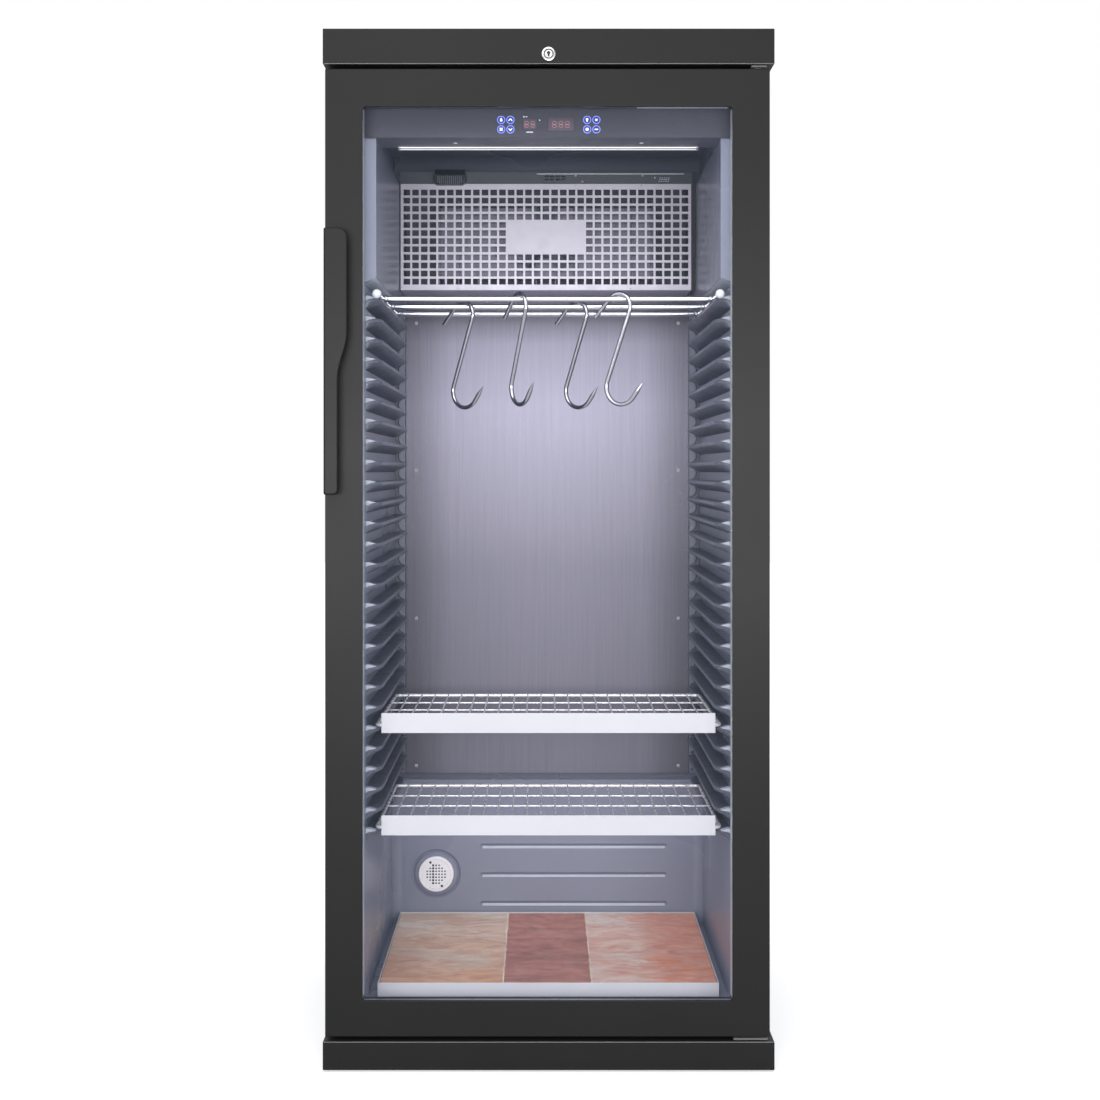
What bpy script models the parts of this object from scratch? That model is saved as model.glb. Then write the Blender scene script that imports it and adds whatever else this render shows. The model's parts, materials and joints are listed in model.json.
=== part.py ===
"""Dry aging cabinet: a glass-door refrigerated cabinet with a hanging rack, wire shelves and a salt tray.

Metres, +Z up. The origin is on the floor, under the middle of the cabinet's bounding box.
+X is the right-hand side seen from the front, and the front faces -Y.
Depths are measured backwards from the front face of the cap and the plinth.
"""
import math

import bmesh
import bpy
from mathutils import Matrix, Vector

# Clearances shared by every piece
CLEAR = 0.0003            # gap left between two pieces that touch
OVERRUN = 0.004           # how far a cutter runs past the face it opens
SINK = 0.001              # how far a fused detail reaches into its own wall

# Overall sizes
CAP_WIDTH = 0.777
CAP_DEPTH = 0.740
CAP_HEIGHT = 0.061
PLINTH_HEIGHT = 0.049
PLINTH_LIFT = 0.003       # the plinth's skirt stops this far above the floor
DOOR_GAP = 0.007          # above and below the door
DOOR_HEIGHT = 1.667

# Levels that follow from them
PLINTH_TOP = PLINTH_LIFT + PLINTH_HEIGHT
DOOR_BOTTOM = PLINTH_TOP + DOOR_GAP
DOOR_TOP = DOOR_BOTTOM + DOOR_HEIGHT
CAP_BOTTOM = DOOR_TOP + DOOR_GAP
CAP_TOP = CAP_BOTTOM + CAP_HEIGHT

# Cabinet body
CAP_OVERHANG = 0.0045     # of the cap and the plinth past each side
REAR_SETBACK = 0.004
BODY_WIDTH = CAP_WIDTH - 2 * CAP_OVERHANG
BODY_FRONT = 0.062        # depth of the face that the gasket lands on
BODY_REAR = CAP_DEPTH - REAR_SETBACK
BODY_LAP = 0.006          # how far the body reaches into the cap and the plinth
SHEET = 0.001
CAP_SHEET = 0.0012
PANEL_RETURN = 0.018      # width of the side panel's folded front edge

# Liner
LINER_WALL = 0.002
SIDE_WALL = 0.059         # from the chamber to the outside, foam and sheets together
FLOOR_WALL = 0.033        # from the plinth's top to the chamber's floor
CEILING_WALL = 0.038      # from the ceiling to the cap
REAR_WALL = 0.091
REAR_STEP = 0.065         # the lower back wall stands this far forward of the upper one
LEDGE_RISE = 0.301        # top of that step above the floor
CHAMBER_WIDTH = BODY_WIDTH - 2 * SIDE_WALL
CHAMBER_FLOOR = PLINTH_TOP + FLOOR_WALL
CHAMBER_CEILING = CAP_BOTTOM - CEILING_WALL
CHAMBER_REAR = BODY_REAR - REAR_WALL
LOWER_REAR = CHAMBER_REAR - REAR_STEP
LEDGE_Z = CHAMBER_FLOOR + LEDGE_RISE
COVE_RADIUS = 0.048       # between the ceiling and the back wall
LOWER_CORNER_RADIUS = 0.020
BULGE_REACH = 0.021       # how far a top bulge stands out of its side wall
BULGE_DROP = 0.075        # from the ceiling to a bulge's top
BULGE_HEIGHT = 0.245
BULGE_WIDTH = CHAMBER_WIDTH - 2 * BULGE_REACH
BULGE_FRONT = 0.070
BULGE_SLOPE = 0.012       # drop of the bulge's underside towards the wall
BULGE_TOP = CHAMBER_CEILING - BULGE_DROP
BULGE_BOTTOM = BULGE_TOP - BULGE_HEIGHT

# Shelf ribs of the liner
RIB_COUNT = 27
RIB_FIRST_DROP = 0.0336   # from a bulge's underside to the top of the first rib
RIB_LAST_RISE = 0.009     # top of the last rib above the ledge
RIB_FIRST_TOP = BULGE_BOTTOM - RIB_FIRST_DROP
RIB_PITCH = (RIB_FIRST_TOP - LEDGE_Z - RIB_LAST_RISE) / (RIB_COUNT - 1)
RIB_REACH = 0.028         # how far a rib stands out of the wall
RIB_EDGE = 0.007          # height of its inner edge
RIB_ROOT = 0.020          # height where it meets the wall
RIB_FRONT = 0.092
RIB_REAR_GAP = 0.023      # from a rib's rear end to the back wall
RIB_REAR = CHAMBER_REAR - RIB_REAR_GAP
RIB_FRONT_TAPER = 0.032   # how much shorter the inner edge is at the front
RIB_REAR_TAPER = 0.012

# Grooves pressed into the lower back wall
BEAD_SIDE = 0.258         # what a groove leaves of the chamber's width
BEAD_RISE = 0.162         # of the top groove above the floor
BEAD_LENGTH = CHAMBER_WIDTH - BEAD_SIDE
BEAD_HEIGHT = 0.010
BEAD_DEPTH = 0.0035
BEAD_CENTRE_X = 0.055
BEAD_TOP_Z = CHAMBER_FLOOR + BEAD_RISE
BEAD_PITCH = 0.060
BEAD_COUNT = 3
RING_RADIUS = 0.0475
RING_HALF_WIDTH = 0.0035

# Filter cap
FILTER_INSET = 0.092      # from the left wall
FILTER_RISE = 0.104       # above the floor
FILTER_X = FILTER_INSET - CHAMBER_WIDTH / 2
FILTER_Z = CHAMBER_FLOOR + FILTER_RISE
FILTER_RADIUS = 0.0367
FILTER_THICK = 0.006
FILTER_STEP = 0.0015
FILTER_NECK_RADIUS = 0.0300
FILTER_NECK_LENGTH = 0.030
FILTER_VENT_RADIUS = 0.0016
FILTER_VENT_PITCH = 0.0062
FILTER_VENT_ROWS = 5
FILTER_VENT_SPREAD = 0.015
FILTER_KEY_RADIUS = 0.0028
FILTER_KEY_REACH = 0.027

# Insulation and machine compartment
MACHINE_DEPTH = 0.116
LEDGE_WALL = 0.040        # from the machine compartment to the ledge
MACHINE_FRONT = BODY_REAR - MACHINE_DEPTH
MACHINE_TOP = LEDGE_Z - LEDGE_WALL

# Door
DOOR_TRIM = 0.002         # how much narrower than the body the door is
DOOR_WIDTH = BODY_WIDTH - DOOR_TRIM
DOOR_SHIFT = -0.002
DOOR_FRONT = 0.004
DOOR_THICK = 0.048
RAIL_SIDE = 0.0645
RAIL_TOP = 0.065
RAIL_BOTTOM = 0.062
DOOR_EDGE_BEVEL = 0.0015
WINDOW_RADIUS = 0.006
LIP_THICK = 0.0055        # front lip that hides the edge of the glass
REBATE = 0.012            # width of the seat behind that lip
PANE = 0.004
SPACER_DEPTH = 0.012
SPACER_WIDTH = 0.008
INNER_FRAME_SETBACK = 0.001

# Gasket
GASKET_OFFSET = 0.0265    # from the window's edge to the middle of the gasket
GASKET_BASE = 0.016
GASKET_BULB = 0.010
GASKET_FOOT = 0.0025

# Door hinge
PIVOT_INSET = 0.018       # from the door's right edge
PIVOT_DEPTH = 0.024
PIN_RADIUS = 0.004
PIN_REACH = 0.026
COLLAR_RADIUS = 0.008
HINGE_PLATE = 0.003
HINGE_PLATE_FRONT = 0.008
UPPER_PLATE_HALF = 0.013
LOWER_PLATE_LEFT = 0.044  # from the pivot
LOWER_PLATE_RIGHT = 0.015

# Handle
HANDLE_PROUD = 0.026      # in front of the cap
HANDLE_THICK = 0.013
HANDLE_INSET = 0.0012     # from the door's left edge
HANDLE_WIDE = 0.041
HANDLE_NARROW = 0.025
HANDLE_DROP = 0.2775      # from the door's top edge to the handle's
HANDLE_LENGTH = 0.456
HANDLE_BEND_DROP = 0.1765 # from the handle's top to where it starts to narrow
HANDLE_BEND = 0.082
HANDLE_TOP = DOOR_TOP - HANDLE_DROP
HANDLE_BOTTOM = HANDLE_TOP - HANDLE_LENGTH
HANDLE_BEND_TOP = HANDLE_TOP - HANDLE_BEND_DROP
HANDLE_BEND_BOTTOM = HANDLE_BEND_TOP - HANDLE_BEND
HANDLE_TOP_RADIUS = 0.017
HANDLE_BOTTOM_RADIUS = 0.0085
HANDLE_SPINE = 0.012
HANDLE_BEVEL = 0.003

# Lock
LOCK_RISE = 0.017         # above the cap's lower edge
LOCK_HEAD_RADIUS = 0.0125
LOCK_HEAD_PROUD = 0.003
LOCK_BODY_RADIUS = 0.0095
LOCK_PLUG_RADIUS = 0.0070
LOCK_DEPTH = 0.026
LOCK_TAIL_RADIUS = 0.0035
LOCK_TAIL = 0.0035
KEYWAY_WIDTH = 0.0018
KEYWAY_HEIGHT = 0.0080
KEYWAY_DEPTH = 0.010
CAM_THICK = 0.002
CAM_LENGTH = 0.035
CAM_WIDTH = 0.010
SLOT_LEFT = 0.044
SLOT_RIGHT = 0.014
STRIKE_MARGIN = 0.006
STRIKE_THICK = 0.001
SLOT_DEPTH = 0.016
SLOT_HALF = 0.006

# Control fascia
FASCIA_SETBACK = 0.003
FASCIA_THICK = 0.003
FASCIA_BAND = 0.085       # length of its underside, front to back
FASCIA_LIP = 0.012
KEY_RADIUS = 0.0073
KEY_PITCH_X = 0.0163
KEY_PITCH_Z = 0.0166
KEY_RISE = 0.0232         # middle of the two rows above the fascia's lower edge
KEYS_LEFT_X = -0.0752
KEYS_RIGHT_X = 0.0762
DISPLAY_RISE = 0.0235
SMALL_DISPLAY_X = -0.0330
SMALL_DISPLAY_WIDTH = 0.0240
SMALL_DISPLAY_HEIGHT = 0.0180
LARGE_DISPLAY_X = 0.0220
LARGE_DISPLAY_WIDTH = 0.0460
LARGE_DISPLAY_HEIGHT = 0.0230
MODULE_THICK = 0.012
MODULE_HALF = 0.100
MODULE_HEIGHT = 0.048

# Light bar
LIGHT_MARGIN = 0.0535     # from each side wall
LIGHT_LENGTH = CHAMBER_WIDTH - 2 * LIGHT_MARGIN
LIGHT_HEIGHT = 0.0050
LIGHT_DEPTH = 0.012

# Evaporator housing, fan cover, coil and fan
EVAP_X = -0.0034          # the housing stands a little to the left
EVAP_MARGIN = 0.025       # from each side wall
EVAP_DEPTH = 0.134
EVAP_DROP = 0.049         # from the ceiling to its top
EVAP_STRIP = 0.024
EVAP_COVER = 0.218
EVAP_WIDTH = CHAMBER_WIDTH - 2 * EVAP_MARGIN
EVAP_FRONT = CHAMBER_REAR - EVAP_DEPTH
EVAP_TOP = CHAMBER_CEILING - EVAP_DROP
EVAP_STRIP_BOTTOM = EVAP_TOP - EVAP_STRIP
EVAP_BOTTOM = EVAP_STRIP_BOTTOM - EVAP_COVER
EVAP_WALL = 0.002
STRIP_THICK = 0.003
COVER_SHEET = 0.0015
HOLE_COLUMNS = 33
HOLE_ROWS = 12
HOLE_MARGIN = 0.01161     # what the hole pattern leaves of the housing's width
HOLE_PITCH_X = (EVAP_WIDTH - HOLE_MARGIN) / HOLE_COLUMNS
HOLE_PITCH_Z = 0.01662
HOLE_BRIDGE = 0.00423
HOLE_WIDTH = HOLE_PITCH_X - HOLE_BRIDGE
HOLE_HEIGHT = 0.0120
BLANK_COLUMNS = 9
BLANK_ROWS = 4
VENT_SLOTS = 4
VENT_ROWS = 2
VENT_X = 0.015
VENT_WIDTH = 0.008
VENT_HEIGHT = 0.003
VENT_PITCH_X = 0.0115
VENT_PITCH_Z = 0.006
COIL_MARGIN = 0.075
COIL_HALF = EVAP_WIDTH / 2 - COIL_MARGIN
COIL_FINS = 12
COIL_FIN = 0.002
COIL_DEPTH = 0.062
COIL_GAP = 0.021          # under it
COIL_HEIGHT = 0.175
COIL_BOTTOM = EVAP_BOTTOM + COIL_GAP
COIL_TOP = COIL_BOTTOM + COIL_HEIGHT
COIL_INSET = 0.014
FAN_RADIUS = 0.072
FAN_HUB_RADIUS = 0.022
FAN_BLADES = 5
FAN_BLADE = 0.0018
FAN_DEPTH = 0.022
FAN_PITCH_DEG = 28.0
FAN_ROOT_CHORD = 0.42     # half the blade's width, as a share of the hub's radius
FAN_TIP_CHORD = 0.80
FAN_RUNNING_GAP = 0.004
SHAFT_RADIUS = 0.004
MOTOR_RADIUS = 0.034

# Humidity sensor cover
SENSOR_INSET = 0.1034     # from the housing's left side
SENSOR_DROP = 0.012
SENSOR_X = EVAP_X - EVAP_WIDTH / 2 + SENSOR_INSET
SENSOR_Z = EVAP_TOP - SENSOR_DROP
SENSOR_WIDTH = 0.066
SENSOR_HEIGHT = 0.033
SENSOR_DEPTH = 0.015
SENSOR_RIBS = 9
SENSOR_RIB = 0.0028
SENSOR_RIB_PROUD = 0.002

# Stainless back panel
BACK_PANEL_SIDE = 0.023   # from each side wall
BACK_PANEL_WIDTH = CHAMBER_WIDTH - 2 * BACK_PANEL_SIDE
BACK_PANEL_SHEET = 0.0012
BACK_PANEL_MARGIN = 0.003

# Hanging rack
ROD_RADIUS = 0.0053
ROD_HALF = BULGE_WIDTH / 2    # from the middle to a side rod
ROD_FRONT = 0.080
ROD_REAR_GAP = 0.027
ROD_REAR = CHAMBER_REAR - ROD_REAR_GAP
KNOB_RADIUS = 0.0082
BAR_DEPTHS = {"front": 0.162, "middle": 0.298, "rear": 0.430}

# S-hooks: the bar each hangs on, its crown's place along the bar and its turn about the vertical
HOOK_WIRE = 0.0040
HOOK_TOP_RADIUS = 0.025   # of the wire's centre line
HOOK_LOW_RADIUS = 0.032
HOOK_DROP = 0.1457        # from the upper loop's centre to the lower one's
HOOK_OFFSET = 0.0058      # of the lower centre towards the point
HOOK_TAIL = 0.047
HOOK_TAIL_DEG = 136.0     # where the upper loop runs out into its straight tail
HOOK_POINT_DEG = 322.0    # where the lower loop runs out into its straight point
HOOK_POINT = 0.034
HOOK_SHOULDER = 0.45      # share of the point's length that keeps the full wire
HOOK_STEPS = 8
HOOKS = (("middle", -0.1623, 40.0), ("front", -0.0538, 58.0), ("middle", 0.0546, 40.0), ("front", 0.1283, 35.0))

# Shelves: which rib each rests on
SHELF_RIBS = {"upper_shelf": 21, "lower_shelf": 26}
SHELF_SIDE = 0.016        # from the side wall to the frame
SHELF_REAR_GAP = 0.190
SHELF_HALF = CHAMBER_WIDTH / 2 - SHELF_SIDE
SHELF_FRONT = 0.096
SHELF_REAR = CHAMBER_REAR - SHELF_REAR_GAP
SHELF_FRAME = 0.0035
LONG_WIRE = 0.0014
LONG_WIRE_COUNT = 22
LONG_WIRE_SIDES = 5
CROSS_WIRE = 0.0018
CROSS_WIRE_COUNT = 3
CROSS_WIRE_SIDES = 6
STRIP_INSET = 0.012
STRIP_HALF = SHELF_HALF - STRIP_INSET
STRIP_HEIGHT = 0.0355
STRIP_SHEET = 0.0015
STRIP_RISE = 0.0185       # above the top of the frame wire
STRIP_LIP = 0.0015

# Salt tray and blocks
TRAY_SIDE = 0.017         # from the side wall
TRAY_REAR_GAP = 0.006     # from the lower back wall, so the blocks clear the filter cap
TRAY_HALF = CHAMBER_WIDTH / 2 - TRAY_SIDE
TRAY_FRONT = 0.130
TRAY_REAR = LOWER_REAR - TRAY_REAR_GAP
TRAY_HEIGHT = 0.025
TRAY_SHEET = 0.0015
SALT_THICK = 0.022
SALT_BEVEL = 0.0015
SALT_LEFT_WIDTH = 0.2242
SALT_MIDDLE_WIDTH = 0.1600

# Levelling feet
FOOT_INSET = 0.0485       # from the plinth's sides
FOOT_FRONT = 0.045
FOOT_REAR_INSET = 0.048
FOOT_X = CAP_WIDTH / 2 - FOOT_INSET
FOOT_REAR = CAP_DEPTH - FOOT_REAR_INSET
FOOT_RADIUS = 0.019
FOOT_DISC = 0.009
FOOT_NUT_RADIUS = 0.011
FOOT_STEM_RADIUS = 0.005
FOOT_BOSS_RADIUS = 0.010
FOOT_BOSS_Z = 0.022       # lower end of the threaded boss that the stem screws into

# Machine compartment
COMPRESSOR_INSET = 0.179  # from the body's left side
COMPRESSOR_X = COMPRESSOR_INSET - BODY_WIDTH / 2
COMPRESSOR_HALF_WIDTH = 0.085
COMPRESSOR_HALF_DEPTH = 0.050
COMPRESSOR_HEIGHT = 0.150
COMPRESSOR_SEAM = 0.004
COMPRESSOR_SEAM_SHARE = 0.45    # of the can's height
COMPRESSOR_DOME_SHARE = 0.45    # of its half depth
COMPRESSOR_BASE = 0.004
COMPRESSOR_FOOT = 0.012
COMPRESSOR_FOOT_RADIUS = 0.008
CONDENSER_INSET = 0.234   # from the body's right side
CONDENSER_X = BODY_WIDTH / 2 - CONDENSER_INSET
CONDENSER_HALF = 0.110
CONDENSER_HEIGHT = 0.200
CONDENSER_DEPTH = 0.040
CONDENSER_FINS = 10
CONDENSER_INSET = 0.008
CONDENSER_FAN_RADIUS = 0.085
CONDENSER_MOTOR_RADIUS = 0.028
CONDENSER_MOTOR_DEPTH = 0.026
CONDENSER_FAN_DEPTH = 0.020
CONDENSER_STEM_HALF = 0.012
DRIP_PAN_HALF = 0.095
DRIP_PAN_HEIGHT = 0.024
DRIP_PAN_WALL = 0.002
LOUVRE_ROWS = 9
LOUVRE_COLUMNS = 2
LOUVRE_WIDTH = 0.270
LOUVRE_HEIGHT = 0.008
LOUVRE_PITCH_X = 0.325
LOUVRE_PITCH_Z = 0.024

# Places that follow from the sizes above
BODY_BOTTOM = PLINTH_TOP - BODY_LAP
BODY_TOP = CAP_BOTTOM + BODY_LAP
FRONT_Y = (HANDLE_PROUD - CAP_DEPTH) / 2
DOOR_LEFT = DOOR_SHIFT - DOOR_WIDTH / 2
DOOR_RIGHT = DOOR_SHIFT + DOOR_WIDTH / 2
DOOR_BACK = DOOR_FRONT + DOOR_THICK
HANDLE_LEFT = DOOR_LEFT + HANDLE_INSET
WINDOW_LEFT = DOOR_LEFT + RAIL_SIDE
WINDOW_RIGHT = DOOR_RIGHT - RAIL_SIDE
WINDOW_BOTTOM = DOOR_BOTTOM + RAIL_BOTTOM
WINDOW_TOP = DOOR_TOP - RAIL_TOP
PIVOT_X = DOOR_RIGHT - PIVOT_INSET
LOCK_Z = CAP_BOTTOM + LOCK_RISE
LOCK_TAIL_DEPTH = LOCK_DEPTH + CLEAR + CAM_THICK / 2
ROD_Z = RIB_FIRST_TOP + CLEAR + ROD_RADIUS
TRAY_BOTTOM = CHAMBER_FLOOR + CLEAR
PAN_TOP = BODY_BOTTOM - CLEAR
PAN_BOTTOM = PAN_TOP - CAP_SHEET

COLOURS = {
    "charcoal_paint": ((0.050, 0.050, 0.049), 0.45, 0.0),
    "door_paint": ((0.050, 0.050, 0.049), 0.45, 0.0),
    "grey_steel": ((0.30, 0.31, 0.32), 0.50, 0.6),
    "liner_plastic": ((0.34, 0.36, 0.44), 0.40, 0.0),
    "foam": ((0.78, 0.70, 0.45), 0.90, 0.0),
    "chrome": ((0.80, 0.80, 0.82), 0.12, 1.0),
    "stainless": ((0.56, 0.55, 0.60), 0.32, 1.0),
    "glass": ((0.85, 0.90, 0.92), 0.05, 0.0),
    "fascia_plastic": ((0.10, 0.10, 0.13), 0.35, 0.0),
    "display_plastic": ((0.04, 0.02, 0.03), 0.20, 0.0),
    "light_diffuser": ((0.90, 0.92, 1.00), 0.40, 0.0),
    "white_plastic": ((0.80, 0.80, 0.84), 0.45, 0.0),
    "black_rubber": ((0.03, 0.03, 0.03), 0.80, 0.0),
    "black_plastic": ((0.03, 0.03, 0.04), 0.45, 0.0),
    "black_metal": ((0.03, 0.03, 0.03), 0.50, 0.0),
    "cover_paint": ((0.40, 0.38, 0.44), 0.45, 0.3),
    "aluminium": ((0.70, 0.71, 0.73), 0.35, 1.0),
    "salt": ((0.62, 0.36, 0.27), 0.50, 0.0),
    "rose_salt": ((0.45, 0.22, 0.20), 0.50, 0.0),
    "sand_salt": ((0.55, 0.42, 0.34), 0.50, 0.0),
}


def clear_scene():
    for obj in list(bpy.data.objects):
        bpy.data.objects.remove(obj, do_unlink=True)


def material(name):
    if name in bpy.data.materials:
        return bpy.data.materials[name]
    colour, roughness, metallic = COLOURS[name]
    made = bpy.data.materials.new(name)
    made.use_nodes = True
    shader = made.node_tree.nodes["Principled BSDF"]
    shader.inputs["Base Color"].default_value = (*colour, 1.0)
    shader.inputs["Roughness"].default_value = roughness
    shader.inputs["Metallic"].default_value = metallic
    made.diffuse_color = (*colour, 1.0)
    return made


def at_depth(depth):
    """World Y of a depth measured backwards from the cap's front face."""
    return FRONT_Y + depth


# Mesh builders

def add_box(bm, x, y, z):
    """A box from three (low, high) pairs."""
    centre = Vector((sum(x) / 2, sum(y) / 2, sum(z) / 2))
    size = (x[1] - x[0], y[1] - y[0], z[1] - z[0])
    matrix = Matrix.Translation(centre) @ Matrix.Diagonal((*size, 1.0))
    return bmesh.ops.create_cube(bm, size=1.0, matrix=matrix)["verts"]


def box(x, depth, z):
    """A new mesh holding one box; depth is a (front, rear) pair."""
    bm = bmesh.new()
    add_box(bm, x, (at_depth(depth[0]), at_depth(depth[1])), z)
    return bm


def frame_of(axis):
    """The three unit vectors of an extrusion: across, up, along."""
    return {
        "X": (Vector((0, 1, 0)), Vector((0, 0, 1)), Vector((1, 0, 0))),
        "Y": (Vector((1, 0, 0)), Vector((0, 0, 1)), Vector((0, 1, 0))),
        "Z": (Vector((1, 0, 0)), Vector((0, 1, 0)), Vector((0, 0, 1))),
    }[axis]


def add_prism(bm, outline, axis, low, high):
    """Extrude a closed outline of (across, up) points from low to high along an axis."""
    across, up, along = frame_of(axis)
    verts = [bm.verts.new(across * a + up * u + along * low) for a, u in outline]
    face = bm.faces.new(verts)
    made = bmesh.ops.extrude_face_region(bm, geom=[face])
    moved = [item for item in made["geom"] if isinstance(item, bmesh.types.BMVert)]
    bmesh.ops.translate(bm, verts=moved, vec=along * (high - low))


def prism(outline, axis, low, high):
    bm = bmesh.new()
    add_prism(bm, outline, axis, low, high)
    return bm


def arc(centre, radius, start_deg, end_deg, steps):
    """Points on an arc, both ends included."""
    points = []
    for i in range(steps + 1):
        angle = math.radians(start_deg + (end_deg - start_deg) * i / steps)
        points.append((centre[0] + radius * math.cos(angle), centre[1] + radius * math.sin(angle)))
    return points


def circle(centre, radius, sides):
    return arc(centre, radius, 0, 360, sides)[:-1]


def add_cylinder(bm, axis, centre, radius, low, high, sides):
    add_prism(bm, circle(centre, radius, sides), axis, low, high)


def bore_radius(radius, sides):
    """Corner radius of a polygonal bore whose flats clear a round piece of the given radius."""
    return (radius + CLEAR) / math.cos(math.pi / sides)


def add_bore(bm, axis, centre, radius, low, high, sides):
    add_cylinder(bm, axis, centre, bore_radius(radius, sides), low, high, sides)


def add_turned(bm, profile, axis, centre, sides, half_sizes=(1.0, 1.0)):
    """Turn a profile of (radius, along) points; a radius of zero closes on the axis."""
    across, up, along = frame_of(axis)
    rings = []
    for radius, reach in profile:
        middle = across * centre[0] + up * centre[1] + along * reach
        if radius == 0:
            rings.append([bm.verts.new(middle)])
            continue
        ring = []
        for i in range(sides):
            angle = math.tau * i / sides
            ring.append(bm.verts.new(middle + across * radius * half_sizes[0] * math.cos(angle)
                                     + up * radius * half_sizes[1] * math.sin(angle)))
        rings.append(ring)
    closed = profile[0][0] != 0
    pairs = list(zip(rings, rings[1:]))
    if closed:
        pairs.append((rings[-1], rings[0]))
    for first, second in pairs:
        for i in range(sides):
            j = (i + 1) % sides
            corners = [first[i % len(first)], first[j % len(first)],
                       second[j % len(second)], second[i % len(second)]]
            unique = list(dict.fromkeys(corners))
            bm.faces.new(unique)


def turned(profile, axis, centre, sides, half_sizes=(1.0, 1.0)):
    bm = bmesh.new()
    add_turned(bm, profile, axis, centre, sides, half_sizes)
    return bm


def ring_prism(outer, inner, low, high):
    """A rectangular ring extruded along Y; outer and inner are (x pair, z pair)."""
    bm = bmesh.new()
    levels = []
    for y in (low, high):
        for x_pair, z_pair in (outer, inner):
            corners = ((x_pair[0], z_pair[0]), (x_pair[1], z_pair[0]),
                       (x_pair[1], z_pair[1]), (x_pair[0], z_pair[1]))
            levels.append([bm.verts.new((cx, y, cz)) for cx, cz in corners])
    outer_low, inner_low, outer_high, inner_high = levels
    for i in range(4):
        j = (i + 1) % 4
        bm.faces.new((outer_low[i], outer_low[j], inner_low[j], inner_low[i]))
        bm.faces.new((outer_high[i], inner_high[i], inner_high[j], outer_high[j]))
        bm.faces.new((outer_low[i], outer_high[i], outer_high[j], outer_low[j]))
        bm.faces.new((inner_low[i], inner_low[j], inner_high[j], inner_high[i]))
    return bm


# Object builders

def body(name, place=(0, 0, 0)):
    """An empty on a joint's axis, which carries the pieces that move together."""
    empty = bpy.data.objects.new(name, None)
    empty.location = place
    bpy.context.scene.collection.objects.link(empty)
    return empty


def piece(name, bm, material_name, carrier, smooth_deg=None):
    """Turn a bmesh made in world places into an object carried by an empty."""
    bmesh.ops.recalc_face_normals(bm, faces=bm.faces)
    bmesh.ops.translate(bm, verts=bm.verts, vec=-carrier.location)
    mesh = bpy.data.meshes.new(name)
    bm.to_mesh(mesh)
    bm.free()
    mesh.materials.append(material(material_name))
    if smooth_deg is not None:
        mesh.shade_smooth()
        mesh.set_sharp_from_angle(angle=math.radians(smooth_deg))
    obj = bpy.data.objects.new(name, mesh)
    obj.parent = carrier
    bpy.context.scene.collection.objects.link(obj)
    return obj


def tool(name, bm):
    """A hidden solid that a Boolean modifier adds or takes away."""
    bmesh.ops.recalc_face_normals(bm, faces=bm.faces)
    mesh = bpy.data.meshes.new(name)
    bm.to_mesh(mesh)
    bm.free()
    obj = bpy.data.objects.new(name, mesh)
    obj.hide_render = True
    obj.display_type = "WIRE"
    bpy.context.scene.collection.objects.link(obj)
    return obj


def combine(obj, bm, operation, name):
    modifier = obj.modifiers.new(name, "BOOLEAN")
    modifier.operation = operation
    modifier.solver = "EXACT"
    modifier.object = bm if isinstance(bm, bpy.types.Object) else tool(f"{obj.name}_{name}", bm)
    return modifier


def cut(obj, bm, name):
    return combine(obj, bm, "DIFFERENCE", name)


def fuse(obj, bm, name):
    return combine(obj, bm, "UNION", name)


def bevel(obj, width, segments=2, angle_deg=40):
    modifier = obj.modifiers.new("Bevel", "BEVEL")
    modifier.width = width
    modifier.segments = segments
    modifier.limit_method = "ANGLE"
    modifier.angle_limit = math.radians(angle_deg)


# Cabinet shell

def top_cap(root):
    """Folded sheet lid: a hollow box whose underside is open where the body enters it."""
    half = CAP_WIDTH / 2
    opening = BODY_WIDTH / 2 + CLEAR
    cap = piece("top_cap", box((-half, half), (0, CAP_DEPTH), (CAP_BOTTOM, CAP_TOP)), "charcoal_paint", root)
    bevel(cap, CAP_SHEET)
    inner = half - CAP_SHEET
    cut(cap, box((-inner, inner), (CAP_SHEET, CAP_DEPTH - CAP_SHEET),
                 (CAP_BOTTOM + CAP_SHEET, CAP_TOP - CAP_SHEET)), "void")
    cut(cap, box((-opening, opening), (BODY_FRONT - CLEAR, BODY_REAR + CLEAR),
                 (CAP_BOTTOM - OVERRUN, CAP_BOTTOM + CAP_SHEET + SINK)), "opening")
    hole = bmesh.new()
    add_bore(hole, "Y", (0, LOCK_Z), LOCK_BODY_RADIUS, at_depth(-OVERRUN), at_depth(CAP_SHEET + SINK), 16)
    cut(cap, hole, "lock_hole")
    cut(cap, box((-SLOT_LEFT, SLOT_RIGHT), (LOCK_TAIL_DEPTH - SLOT_HALF, LOCK_TAIL_DEPTH + SLOT_HALF),
                 (CAP_BOTTOM - OVERRUN, CAP_BOTTOM + CAP_SHEET + SINK)), "cam_slot")
    return cap


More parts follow.
